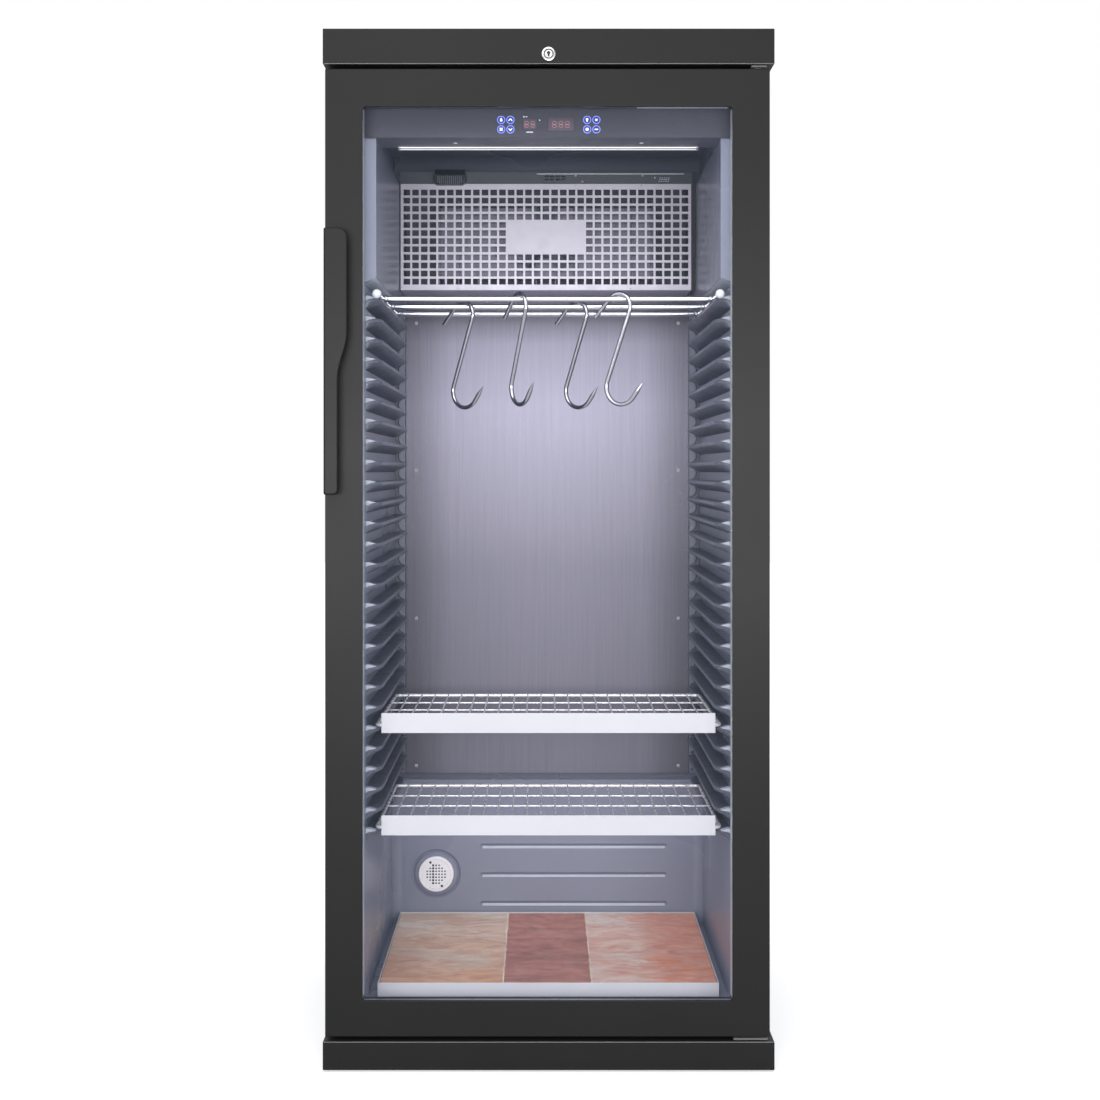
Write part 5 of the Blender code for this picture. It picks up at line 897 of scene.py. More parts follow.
def add_wire(bm, points, radii, sides):
    """Round wire along points, with a radius at each, closed at both ends."""
    last = len(points) - 1
    tangents = [(points[min(i + 1, last)] - points[max(i - 1, 0)]).normalized() for i in range(last + 1)]
    side = tangents[0].orthogonal().normalized()
    rings = []
    for p, tangent, radius in zip(points, tangents, radii):
        side = (side - tangent * side.dot(tangent)).normalized()
        rings.append(ring(bm, p, side, tangent.cross(side), radius, sides))
    for first, second in zip(rings, rings[1:]):
        bridge(bm, first, second)
    bm.faces.new(rings[0])
    bm.faces.new(rings[-1])


def box_solid(name, x, y, z, bevel=0.0):
    bm = bmesh.new()
    add_box(bm, x, y, z)
    return solid(name, bm, bevel)


def prism_solid(name, outline, axis, low, high):
    bm = bmesh.new()
    add_prism(bm, outline, axis, low, high)
    return solid(name, bm)


# Liner

def corner_outline(corner, signs, radius, steps=8):
    """What a round corner leaves of its square one, with a little beyond it."""
    centre = Vector((corner[0] - signs[0] * radius, corner[1] - signs[1] * radius))
    start = {(1, 1): 0, (-1, 1): 90}[signs]
    edge = [Vector(p) for p in arc(centre, radius, start, start + 90, steps)]
    far = centre + Vector(signs) * radius * CORNER_OVER
    last, first = (centre + (end - centre) * CORNER_OVER for end in (edge[-1], edge[0]))
    return edge + [last, far, first]


def chamber(name, grow, front):
    """The chamber's hollow, grown outwards by grow, as a solid."""
    half = CHAMBER_HALF + grow
    outside = half + OVERRUN
    floor_z = CHAMBER_FLOOR - grow
    rear = at_depth(CHAMBER_REAR + grow)
    core = box_solid(name, (-half, half), (at_depth(front), rear), (floor_z, CHAMBER_CEILING + grow))
    boolean(core, box_solid("ledge_cut", (-outside, outside), (at_depth(LOWER_REAR + grow), rear + OVERRUN),
                            (floor_z - OVERRUN, LEDGE_Z - grow)))
    cove = corner_outline((rear, CHAMBER_CEILING + grow), (1, 1), COVE_RADIUS + grow)
    boolean(core, prism_solid("cove_cut", cove, "X", -outside, outside))
    for side in (-1, 1):
        bulge = side * (BULGE_HALF + grow)
        outline = [(bulge, BULGE_BOTTOM + grow), (side * outside, BULGE_BOTTOM - BULGE_SLOPE + grow),
                   (side * outside, BULGE_TOP - grow), (bulge, BULGE_TOP - grow)]
        boolean(core, prism_solid("bulge_cut", outline, "Y", at_depth(BULGE_FRONT + grow), rear + OVERRUN))
        corner = corner_outline((side * half, at_depth(LOWER_REAR + grow)), (side, 1), LOWER_CORNER + grow)
        boolean(core, prism_solid("corner_cut", corner, "Z", floor_z - OVERRUN, LEDGE_Z - grow))
    return core


def groove_tool():
    """Grooves with sloping sides and round ends, and the ring round the filter."""
    bm = bmesh.new()
    low = at_depth(LOWER_REAR - GROOVE_OVER)
    high = at_depth(LOWER_REAR + GROOVE_DEPTH)
    reach = GROOVE_HALF - GROOVE_RADIUS
    for z in GROOVE_ROWS:
        loops = []
        for radius, y in ((GROOVE_RADIUS + GROOVE_OVER, low), (GROOVE_BOTTOM, high)):
            outline = arc((GROOVE_X + reach, z), radius, -90, 90, 10)
            outline += arc((GROOVE_X - reach, z), radius, 90, 270, 10)
            loops.append([bm.verts.new((x, y, height)) for x, height in outline])
        bridge(bm, *loops)
        bm.faces.new(loops[0][::-1])
        bm.faces.new(loops[1])
    middle = (RING_INNER + RING_OUTER) / 2
    flat_half = GROOVE_BOTTOM * RING_FLAT
    profile = [(RING_INNER - GROOVE_OVER, low), (RING_OUTER + GROOVE_OVER, low)]
    profile += [(middle + flat_half, high), (middle - flat_half, high)]
    add_turned(bm, profile, "Y", (FILTER_X, FILTER_Z), 64)
    return solid("groove_tool", bm)


def groove_lights():
    """Painted highlights on the grooves' lower slopes."""
    bm = bmesh.new()
    reach = GROOVE_HALF - GROOVE_RADIUS
    for z in GROOVE_ROWS:
        outline = [(at_depth(LOWER_REAR - CLEAR), z - GROOVE_RADIUS - CLEAR),
                   (at_depth(LOWER_REAR + GROOVE_DEPTH - CLEAR), z - GROOVE_BOTTOM),
                   (at_depth(LOWER_REAR + GROOVE_DEPTH * GROOVE_LIGHT_DEPTH), z - GROOVE_BOTTOM),
                   (at_depth(LOWER_REAR - CLEAR * 2), z - GROOVE_RADIUS + CLEAR * 4)]
        add_prism(bm, outline, "X", GROOVE_X - reach, GROOVE_X + reach)
    piece("groove_lights", bm, EXTRA["pale_marks_and_painted_light"], "liner_plastic")


def liner():
    shell = box_solid("liner_shell", (-BODY_HALF, BODY_HALF),
                      (at_depth(BODY_FRONT), at_depth(BODY_FRONT + LINER_WALL)), (LINER_LOW, LINER_HIGH))
    boolean(shell, chamber("outside", LINER_WALL, BODY_FRONT + LINER_LAP), "UNION")
    boolean(shell, round_edges(chamber("inside", 0, BODY_FRONT - OVERRUN), LINER_ROUNDING, 4, 40))
    back = (at_depth(LOWER_REAR + GROOVE_BACK_FRONT), at_depth(LOWER_REAR + GROOVE_DEPTH + LINER_WALL))
    boolean(shell, box_solid("groove_back", GROOVE_BACK_X, back, GROOVE_BACK_Z), "UNION")
    boolean(shell, groove_tool())
    hole = circle((FILTER_X, FILTER_Z), FILTER_NECK + CLEAR, 64)
    boolean(shell, prism_solid("filter_hole", hole, "Y", at_depth(LOWER_REAR - OVERRUN),
                               at_depth(LOWER_REAR + FILTER_HOLE_DEPTH)))
    dress_as("inner_liner", shell, sharp_deg=32)


# Ribs

def rib_tops():
    """Side of the wall and height of each rib's top."""
    return [(side, RIB_FIRST_TOP - i * RIB_PITCH) for side in (-1, 1) for i in range(RIB_COUNT)]


def rib_gaps():
    """Side of the wall, lower limit, middle and half height of each gap between two ribs."""
    half = (RIB_PITCH - RIB_EDGE) / 2
    return [(side, RIB_FIRST_TOP - (i + 1) * RIB_PITCH, RIB_FIRST_TOP - (i + 1) * RIB_PITCH + half, half)
            for side in (-1, 1) for i in range(RIB_COUNT - 1)]


def rib_section(reach, top):
    """Points of a rib's cross-section, from its top round its nose to its root: reach and height."""
    nose = min(RIB_ROUNDING, reach / 3)
    low_nose = min(nose, RIB_EDGE / 2.5)
    points = [(0.0, top), (reach * 0.5, top)]
    points += arc((reach - nose, top - nose), nose, 90, 0, 4)
    points += arc((reach - low_nose, top - RIB_EDGE + low_nose), low_nose, 0, -65, 4)
    return points + [(reach * 0.5, top - (RIB_EDGE + RIB_ROOT) / 2), (0.0, top - RIB_ROOT)]


def rib_stations(rear, front_steps=10, rear_steps=5, power=0.8):
    """Depths along a rib, with the share of its full reach at each."""
    stations = []
    for k in range(front_steps + 1):
        angle = math.radians(90 * k / front_steps)
        stations.append((RIB_FRONT + RIB_FRONT_TAPER * (1 - math.cos(angle)), math.sin(angle) ** power))
    for k in range(rear_steps + 1):
        angle = math.radians(90 * k / rear_steps)
        stations.append((rear - RIB_REAR_TAPER * (1 - math.sin(angle)), max(math.cos(angle), 0.0) ** power))
    return stations


def ribs():
    """Shelf ribs of both walls, with rounded noses and ends, in a darker copy of the liner's colour as
    painted shade.
    """
    bm = bmesh.new()
    for side, top in rib_tops():
        rings = []
        for depth, share in rib_stations(RIB_LOW_REAR if top - RIB_ROOT < LEDGE_Z else RIB_REAR):
            section = rib_section(max(RIB_REACH * share, RIB_THIN), top)
            rings.append([bm.verts.new((side * (CHAMBER_HALF - (reach or -RIB_SINK)), at_depth(depth), z))
                          for reach, z in section])
        for first, second in zip(rings, rings[1:]):
            bridge(bm, first, second)
        bm.faces.new(rings[0])
        bm.faces.new(rings[-1])
    piece("shelf_ribs", bm, EXTRA["rib_shaded_sheet"], "liner_plastic", sharp_deg=42)


def arch(side, middle, reach, rise, half_deg, steps):
    """Half ellipse from top to bottom that bulges towards the wall."""
    return [(side * (SCALLOP_INNER + x), middle + rise * y)
            for x, y in [(reach * math.cos(a), math.sin(a)) for a in
                         [math.radians(half_deg * (1 - 2 * k / steps)) for k in range(steps + 1)]]]


def scallops():
    """Arched borders at the ribs' rear ends with a painted shadow line round each, painted highlights at the
    ribs' front ends and beside the back panel's edges, painted shadow lines along those edges, and the ribs'
    roots.
    """
    wall = CHAMBER_HALF - CLEAR
    low = at_depth(CHAMBER_REAR - SCALLOP_PROUD)
    high = at_depth(CHAMBER_REAR - CLEAR)
    borders = bmesh.new()
    lines = bmesh.new()
    for side, foot, middle, half in rib_gaps():
        add_prism(borders, [(side * wall, foot), (side * wall, middle + half)]
                  + arch(side, middle, SCALLOP_REACH, half, 90, 14), "Y", low, high)
        if foot >= LEDGE_Z:
            # painted shadow line round each arched border above the ledge
            inner = arch(side, middle, SCALLOP_REACH - SCALLOP_LINE, half - SCALLOP_LINE / 2, 88, 16)
            band = arch(side, middle, SCALLOP_REACH, half, 88, 16) + inner[::-1]
            add_prism(lines, band, "Y", low - SCALLOP_LINE / 3, low + CLEAR)
    panel = at_depth(BACK_PANEL_DEPTH)
    height = (LEDGE_Z + PANEL_LINE_FOOT, ROD_Z + PANEL_LINE_RISE)
    highlights = bmesh.new()
    # painted shadow line along each side edge of the back panel, and a painted highlight line beside it
    for side in (-1, 1):
        line = PANEL_EDGE + PANEL_GAP
        add_box(lines, sided(side, PANEL_EDGE, line), (panel, high), height)
        add_box(highlights, sided(side, line, line + PANEL_LIGHT), (panel - PANEL_LIGHT_PROUD, high), height)
    roots = bmesh.new()
    for side, top in rib_tops():
        # painted highlight at each rib's front end
        outline = [(side * (wall - reach), top + rise) for reach, rise in RIB_HIGHLIGHT_SECTION]
        add_prism(highlights, outline, "Y", at_depth(RIB_FRONT + RIB_HIGHLIGHT_FRONT), at_depth(RIB_FRONT + RIB_HIGHLIGHT_REAR))
        if top - RIB_ROOT >= LEDGE_Z:
            add_box(roots, sided(side, wall, SCALLOP_INNER), (at_depth(RIB_REAR - RIB_REAR_TAPER), high),
                    (top - RIB_EDGE, top - CLEAR))
    # the borders take the darker copy of the liner's colour, a painted shade
    sheet = EXTRA["rib_shaded_sheet"]
    piece("rib_scallops", borders, sheet, "liner_plastic", sharp_deg=40, bevel=0.0012, angle=50)
    piece("rib_shadow_lines", lines, EXTRA["painted_shade"], "liner_plastic", sharp_deg=40)
    piece("rib_front_and_panel_highlights", highlights, EXTRA["pale_marks_and_painted_light"], "liner_plastic", sharp_deg=40, bevel=0.0008, segments=2)
    piece("rib_roots", roots, FINISHES["liner_plastic"], "liner_plastic", sharp_deg=40, bevel=0.0018)


# Rack, hooks, shelves

def rack():
    sides = 40
    front = at_depth(ROD_FRONT)
    rear = at_depth(ROD_REAR)
    for side, label in ((-1, "left"), (1, "right")):
        centre = (side * ROD_HALF, ROD_Z)
        bm = bmesh.new()
        profile = [(0, front + KNOB_RADIUS), (ROD_RADIUS, front + KNOB_RADIUS)]
        profile += [(ROD_RADIUS, rear - ROD_ROUNDING), (ROD_RADIUS - ROD_ROUNDING, rear), (0, rear)]
        add_turned(bm, profile, "Y", centre, sides)
        stand_in(f"rack_rod_{label}", bm)
        ball = arc((front, 0), KNOB_RADIUS, 180, 45, 14)
        profile = [(radius if radius > CLEAR else 0, reach) for reach, radius in ball]
        neck = profile[-1][1]
        sleeve = ROD_RADIUS + CLEAR
        profile += [(sleeve, neck), (sleeve, neck + KNOB_NECK), (0, neck + KNOB_NECK)]
        bm = bmesh.new()
        add_turned(bm, profile, "Y", centre, sides)
        piece(f"rack_knob_{label}", bm, EXTRA["white_knob"], "chrome", "rack", 50)
    end = CLEAR + ROD_RADIUS - ROD_HALF
    profile = [(0, end), (COLLAR_RADIUS - COLLAR_ROUNDING, end), (COLLAR_RADIUS, end + COLLAR_ROUNDING),
               (COLLAR_RADIUS, end + COLLAR_LENGTH), (ROD_RADIUS, end + COLLAR_END)]
    profile += [(radius, -along) for radius, along in reversed(profile)]
    for label, depth in BAR_DEPTHS.items():
        bm = bmesh.new()
        add_turned(bm, profile, "X", (at_depth(depth), ROD_Z), sides)
        stand_in(f"rack_bar_{label}", bm)


def hook_path(steps):
    """Middle line of a hook from its tail to its point, hung from the origin."""
    upper = Vector((0, -HOOK_TOP_RADIUS))
    lower = Vector((HOOK_OFFSET, -HOOK_TOP_RADIUS - HOOK_DROP))
    span = lower - upper
    lean = math.degrees(math.asin((HOOK_TOP_RADIUS + HOOK_LOW_RADIUS) / span.length)
                        - math.atan2(span.x, -span.y))
    top = [Vector(p) for p in arc(upper, HOOK_TOP_RADIUS, HOOK_TAIL_DEG, -lean, steps)]
    low = [Vector(p) for p in arc(lower, HOOK_LOW_RADIUS, 180 - lean, HOOK_POINT_DEG, steps)]

    def past(end, degrees, length):
        angle = math.radians(degrees + 90)
        return end + Vector((math.cos(angle), math.sin(angle))) * length

    point = past(low[-1], HOOK_POINT_DEG, HOOK_POINT)
    shoulder = low[-1].lerp(point, HOOK_SHOULDER_SHARE)
    return [past(top[0], HOOK_TAIL_DEG, HOOK_TAIL)] + top + low + [shoulder, point]


def balance_of(path):
    lengths = [(b - a).length for a, b in zip(path, path[1:])]
    middles = [(a + b) / 2 for a, b in zip(path, path[1:])]
    return sum(size * middle.x for size, middle in zip(lengths, middles)) / sum(lengths)


def hook_lift(path, balance, turn, samples=16):
    """Height of the hook's origin at which its upper loop rests on the bar."""
    need = ROD_RADIUS + HOOK_WIRE + CLEAR
    lift = 0
    for a, b in zip(path, path[1:]):
        for i in range(samples):
            p = a.lerp(b, i / samples)
            side = abs((p.x - balance) * math.sin(turn))
            if p.y > -HOOK_TOP_RADIUS and side < need:
                lift = max(lift, math.sqrt(need ** 2 - side ** 2) - p.y)
    return lift


def hooks():
    coarse = hook_path(HOOK_COARSE)
    balance = balance_of(coarse)
    fine = hook_path(HOOK_FINE)
    path = [fine[0], fine[0].lerp(fine[1], HOOK_TAIL_STEP)] + fine[1:-1]
    path += [fine[-2].lerp(fine[-1], HOOK_POINT_STEP), fine[-1]]
    shares = [HOOK_TAIL_SHARE] + [1.0] * (len(path) - 3) + [*HOOK_POINT_SHARES]
    for index, (bar, x, turn_deg) in enumerate(HOOKS, 1):
        turn = math.radians(turn_deg)
        lift = hook_lift(coarse, balance, turn)
        origin = Vector((x, at_depth(BAR_DEPTHS[bar]), ROD_Z))
        points = [origin + Vector((p.x * math.cos(turn), (balance - p.x) * math.sin(turn), p.y + lift))
                  for p in path]
        bm = bmesh.new()
        add_wire(bm, points, [HOOK_WIRE * share for share in shares], 20)
        stand_in(f"hook_{index}", bm, EXTRA["hook_steel"], 30)


def shelf(name):
    middle = SHELF_MIDDLES[name]
    half = SHELF_HALF - SHELF_FRAME
    front = at_depth(SHELF_FRONT)
    rear = at_depth(SHELF_REAR)
    outline = round_rectangle((-half, half), (front, rear), SHELF_CORNER, 5)
    loop = [Vector((x, y, middle)) for x, y in outline]
    up = Vector((0, 0, 1))
    bm = bmesh.new()
    rings = []
    for i, p in enumerate(loop):
        tangent = (loop[(i + 1) % len(loop)] - loop[i - 1]).normalized()
        rings.append(ring(bm, p, tangent.cross(up), up, SHELF_FRAME, 14))
    for i, second in enumerate(rings):
        bridge(bm, rings[i - 1], second)
    long_z = middle + SHELF_FRAME - CLEAR - LONG_WIRE
    for i in range(LONG_WIRE_COUNT):
        x = -half + 2 * half * (i + 1) / (LONG_WIRE_COUNT + 1)
        add_wire(bm, [Vector((x, front, long_z)), Vector((x, rear, long_z))], [LONG_WIRE] * 2, 12)
    cross_z = middle - SHELF_FRAME + CLEAR + CROSS_WIRE
    for i in range(CROSS_WIRE_COUNT):
        y = front + (rear - front) * (i + 1) / (CROSS_WIRE_COUNT + 1)
        add_wire(bm, [Vector((-half, y, cross_z)), Vector((half, y, cross_z))], [CROSS_WIRE] * 2, 12)
    stand_in(f"{name}_grid", bm, EXTRA["wire"])
    refined(f"{name}_strip", bevel=0.0005)


# Door

def handle_outline(steps=24):
    left = -HANDLE_LEFT
    wide = left + HANDLE_WIDE
    narrow = left + HANDLE_NARROW
    outline = [(left, HANDLE_BOTTOM), (left, HANDLE_TOP)]
    outline += arc((wide - HANDLE_TOP_RADIUS, HANDLE_TOP - HANDLE_TOP_RADIUS), HANDLE_TOP_RADIUS, 90, 0, 12)
    for i in range(steps + 1):
        ease = (1 - math.cos(math.pi * i / steps)) / 2
        outline.append((wide + (narrow - wide) * ease,
                        HANDLE_BEND_TOP + (HANDLE_BEND_BOTTOM - HANDLE_BEND_TOP) * i / steps))
    return outline + arc((narrow - HANDLE_BOTTOM_RADIUS, HANDLE_BOTTOM + HANDLE_BOTTOM_RADIUS),
                         HANDLE_BOTTOM_RADIUS, 0, -90, 8)


def handle():
    rear = at_depth(HANDLE_THICK - HANDLE_PROUD)
    bm = bmesh.new()
    add_prism(bm, handle_outline(), "Y", at_depth(-HANDLE_PROUD), rear)
    blade = solid("door_handle_form", bm, HANDLE_BEVEL, 5, 50)
    depth = (rear - SPINE_SINK, at_depth(DOOR_FRONT - CLEAR))
    height = (HANDLE_BOTTOM + HANDLE_BEVEL, HANDLE_TOP - HANDLE_BEVEL)
    spine = box_solid("spine", (-HANDLE_LEFT, HANDLE_SPINE - HANDLE_LEFT), depth, height, SPINE_BEVEL)
    boolean(blade, spine, "UNION")
    dress_as("door_handle", blade)


def inner_frame():
    """Slim frame round the inner pane; its lower and upper rails are narrower than its side rails."""
    low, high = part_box("door_inner_frame")
    x = (low.x + FRAME_SIDE, high.x - FRAME_SIDE)
    z = (low.z + FRAME_RAIL, high.z - FRAME_RAIL)
    outline = rectangle((low.x, high.x), (low.z, high.z))
    body = prism_solid("door_inner_frame_form", outline, "Y", low.y, high.y)
    boolean(body, prism_solid("opening", round_rectangle(x, z, FRAME_RADIUS, 6), "Y", low.y - OVERRUN,
                              high.y + OVERRUN))
    dress_as("door_inner_frame", round_edges(body, FRAME_BEVEL, 3, 50), EXTRA["frame_body"])
    depth = (low.y + CLEAR, high.y - CLEAR)
    bm = bmesh.new()
    # pale lines down both side edges of the opening
    for start in (x[0], x[1] - FRAME_LINE):
        add_box(bm, (start, start + FRAME_LINE), depth, (z[0] + FRAME_RADIUS, z[1] - FRAME_RADIUS))
    # painted reflection along the right part of the opening's top edge
    add_box(bm, (FRAME_LINE_START, x[1] - FRAME_RADIUS), depth, (z[1] - FRAME_LINE, z[1]))
    piece("frame_edge_lines_and_reflection", bm, EXTRA["frame_edge_and_reflection"], SLOT_OF["door_inner_frame"], "door")


# Lock

def lock():
    centre = (0, LOCK_Z)
    front = at_depth(-LOCK_HEAD_PROUD)
    middle = at_depth(-CLEAR)
    rear = at_depth(LOCK_DEPTH)
    bore = LOCK_PLUG_RADIUS + CLEAR
    rounding = LOCK_HEAD_ROUNDING
    shoulder = LOCK_HEAD_RADIUS - rounding
    profile = [(bore, front + LOCK_BORE_EDGE), (bore + LOCK_BORE_EDGE, front), (shoulder, front)]
    profile += [(shoulder + rounding * math.sin(a), front + rounding * (1 - math.cos(a)))
                for a in map(math.radians, (30, 60, 90))]
    profile += [(LOCK_HEAD_RADIUS, middle), (LOCK_BODY_RADIUS, middle)]
    profile += [(LOCK_BODY_RADIUS, rear), (bore, rear)]
    bm = bmesh.new()
    add_turned(bm, profile, "Y", centre, 64)
    stand_in("lock_housing", bm, EXTRA["lock_chrome"], 28)
    plug_front = front + PLUG_SET_BACK
    # dark ring of painted shade where the plug meets the housing
    bm = bmesh.new()
    add_flat_ring(bm, centre, bore + LOCK_SHADE_WIDTH, bore - LAYER, front - LAYER, plug_front, 64)
    piece("lock_groove_shade", bm, EXTRA["lock_shade"], "chrome", sharp_deg=30)
    bm = bmesh.new()
    profile = [(0, plug_front), (LOCK_PLUG_RADIUS - PLUG_ROUNDING, plug_front)]
    profile += [(LOCK_PLUG_RADIUS, plug_front + PLUG_ROUNDING), (LOCK_PLUG_RADIUS, rear)]
    profile += [(LOCK_TAIL_RADIUS, rear), (LOCK_TAIL_RADIUS, rear + LOCK_TAIL), (0, rear + LOCK_TAIL)]
    add_turned(bm, profile, "Y", centre, 64)
    plug = solid("lock_plug_form", bm)
    pin = (0, LOCK_Z + KEYWAY_PIN / 2)
    start = at_depth(KEYWAY_FRONT)
    boolean(plug, box_solid("keyway", (-KEYWAY_HALF, KEYWAY_HALF), (start, at_depth(KEYWAY_DEPTH)),
                            (LOCK_Z - KEYWAY_DROP, LOCK_Z + KEYWAY_PIN)))
    boolean(plug, prism_solid("key_pin", circle(pin, KEYWAY_PIN, 20), "Y", start, at_depth(PIN_DEPTH)))
    dress_as("lock_plug", plug, EXTRA["lock_chrome"], 28)
    near, far = (at_depth(depth) for depth in KEYWAY_SHADE)
    bm = bmesh.new()
    add_box(bm, (LAYER - KEYWAY_HALF, KEYWAY_HALF - LAYER), (near, far),
            (LOCK_Z - KEYWAY_DROP + LAYER, LOCK_Z + KEYWAY_PIN))
    add_prism(bm, circle(pin, KEYWAY_PIN - LAYER, 20), "Y", near + LAYER, far)
    piece("keyway_shade", bm, EXTRA["painted_shade"], "chrome", "lock", 30)
    refined("lock_cam", bevel=0.0003)


# Filter cap

def vent_circles(sides, wider=1.0):
    """Round vents in a square pattern, and the two larger marks, as outlines."""
    steps = range(-VENT_SIDE, VENT_SIDE + 1)
    outlines = []
    for row in steps:
        for column in steps:
            dx, dz = column * VENT_PITCH, row * VENT_PITCH
            if math.hypot(dx, dz) < VENT_FIELD:
                radius = VENT_RADIUS * (wider if column == -1 else 1)
                outlines.append(circle((FILTER_X + dx, FILTER_Z + dz), radius, sides))
    for side in (-1, 1):
        outlines.append(circle((FILTER_X + side * MARK_X, FILTER_Z - side * MARK_Z), MARK_RADIUS, 20))
    return outlines


def filter_cap():
    """Round cap with vents, black discs of painted shade in them, and a thin dark line round them all."""
    centre = (FILTER_X, FILTER_Z)
    back = at_depth(LOWER_REAR - CLEAR)
    front = back - FILTER_THICK
    profile = [(0, front + FILTER_FACE)]
    profile += [(FILTER_RADIUS - inset, front + depth) for inset, depth in FILTER_RIM]
    profile += [(FILTER_RADIUS, back), (FILTER_NECK, back), (FILTER_NECK, back + FILTER_NECK_LENGTH),
                (0, back + FILTER_NECK_LENGTH)]
    bm = bmesh.new()
    add_turned(bm, profile, "Y", centre, 72)
    cap = solid("filter_cap_form", bm)
    tool = bmesh.new()
    for outline in vent_circles(8):
        add_prism(tool, outline, "Y", front - VENT_OVER, front + VENT_DEEP)
    boolean(cap, solid("vents", tool))
    dress_as("filter_cap", cap, EXTRA["cap_white"], 28)
    near, far = front + SHADE_FRONT, front + SHADE_REAR
    bm = bmesh.new()
    for outline in vent_circles(10, VENT_WIDER):
        add_prism(bm, outline, "Y", near, far)
    add_flat_ring(bm, centre, LINE_OUTER, LINE_INNER, near, far, 72)
    piece("filter_cap_vent_shade", bm, FINISHES["black_plastic"], "white_plastic", "filter_cap", 30)


# Controls

def flat(name, outlines, finish, depth, thick, slot="display_plastic"):
    """Thin flat shapes that face the front, from outlines in X and Z."""
    bm = bmesh.new()
    for outline in outlines:
        add_prism(bm, outline, "Y", at_depth(depth), at_depth(depth + thick))
    piece(name, bm, finish, slot, sharp_deg=30)


def icon_outlines(kind, x, z, size):
    """Generic key symbols from strokes and discs."""
    width = size * 0.34

    def at(x1, z1):
        return (x + size * x1, z + size * z1)

    def line(x1, z1, x2, z2, thickness=1.0):
        return stroke(at(x1, z1), at(x2, z2), width * thickness)

    def disc(rise, radius, sides):
        return circle(at(0, rise), size * radius, sides)

    rays = [(0.6 * math.cos(a), 0.6 * math.sin(a)) for a in map(math.radians, (0, 60, 120))]
    return {
        "up": [line(-0.7, -0.35, 0, 0.5), line(0, 0.5, 0.7, -0.35)],
        "down": [line(-0.7, 0.35, 0, -0.5), line(0, -0.5, 0.7, 0.35)],
        "drop": [disc(-0.15, 0.5, 16), [at(-0.42, 0.1), at(0.42, 0.1), at(0, 0.85)]],
        "menu": [line(-0.65, k, 0.65, k, 0.7) for k in (-0.45, 0.0, 0.45)],
        "lamp": [disc(0.2, 0.5, 16), line(-0.28, -0.55, 0.28, -0.55)],
        "clock": [disc(0, 0.62, 20)],
        "bar": [line(-0.7, 0, 0.7, 0, 1.3)],
        "star": [line(-dx, -dz, dx, dz, 0.6) for dx, dz in rays],
    }[kind]


def add_segment(strokes, start, end, thick):
    start, end = Vector(start), Vector(end)
    gap = (end - start).normalized() * thick * DIGIT_GAP
    strokes.append(stroke(start + gap, end - gap, thick))


def add_digit(on, off, x, width, height):
    """A seven-segment digit with its middle bar lit: puts its strokes in on and off."""
    left, right = x - width / 2, x + width / 2
    low, middle, high = DISPLAY_Z - height / 2, DISPLAY_Z, DISPLAY_Z + height / 2
    thick = width * DIGIT_STROKE
    for z, strokes in ((high, off), (middle, on), (low, off)):
        add_segment(strokes, (left, z), (right, z), thick)
    for side in (left, right):
        for start, end in ((high, middle), (middle, low)):
            add_segment(off, (side, start), (side, end), thick)


def controls():
    refined("control_fascia", bevel=0.0010)
    refined("control_module", bevel=0.0002)
    rings = bmesh.new()
    discs, icons = [], []
    near, far = at_depth(CONTROL_FACE), at_depth(CONTROL_FACE + FACE_THICK)
    for kind, (x, z) in zip(KEY_ICONS, [(x, z) for x in KEY_COLUMNS for z in KEY_ROWS]):
        outer, inner = (KEY_RADIUS * share for share in KEY_RING)
        add_flat_ring(rings, (x, z), outer, inner, near, far, 40)
        discs.append(circle((x, z), KEY_RADIUS * KEY_DISC, 32))
        icons += icon_outlines(kind, x, z, KEY_RADIUS * KEY_ICON)
    piece("key_rings", rings, EXTRA["key_ring"], "display_plastic", sharp_deg=30)
    windows, on, off = [], [], []
    for display, digit, places in ((SMALL_DISPLAY, SMALL_DIGIT, SMALL_DIGIT_PLACES),
                                   (LARGE_DISPLAY, LARGE_DIGIT, LARGE_DIGIT_PLACES)):
        x, width, height = display
        half = height / 2
        windows.append(rectangle((x - width / 2, x + width / 2), (DISPLAY_Z - half, DISPLAY_Z + half)))
        for place in places:
            add_digit(on, off, x + place, *digit)
    flat("key_faces", discs, EXTRA["key_face"], CONTROL_FACE + LAYER, FACE_THICK)
    flat("key_icons", icons, EXTRA["icon"], CONTROL_FACE - LAYER, ICON_THICK)
    flat("display_faces", windows, EXTRA["display_face"], CONTROL_FACE + LAYER, FACE_THICK)
    flat("digits_lit", on, EXTRA["digit"], CONTROL_FACE - LAYER, FLAT_THICK)
    flat("digits_unlit", off, EXTRA["digit_off"], CONTROL_FACE, FLAT_THICK)
    marks = [stroke(*mark) for mark in STATUS_STROKES]
    flat("status_marks", marks, EXTRA["icon"], CONTROL_FACE - LAYER, FLAT_THICK)


# Light bar, evaporator housing and trims

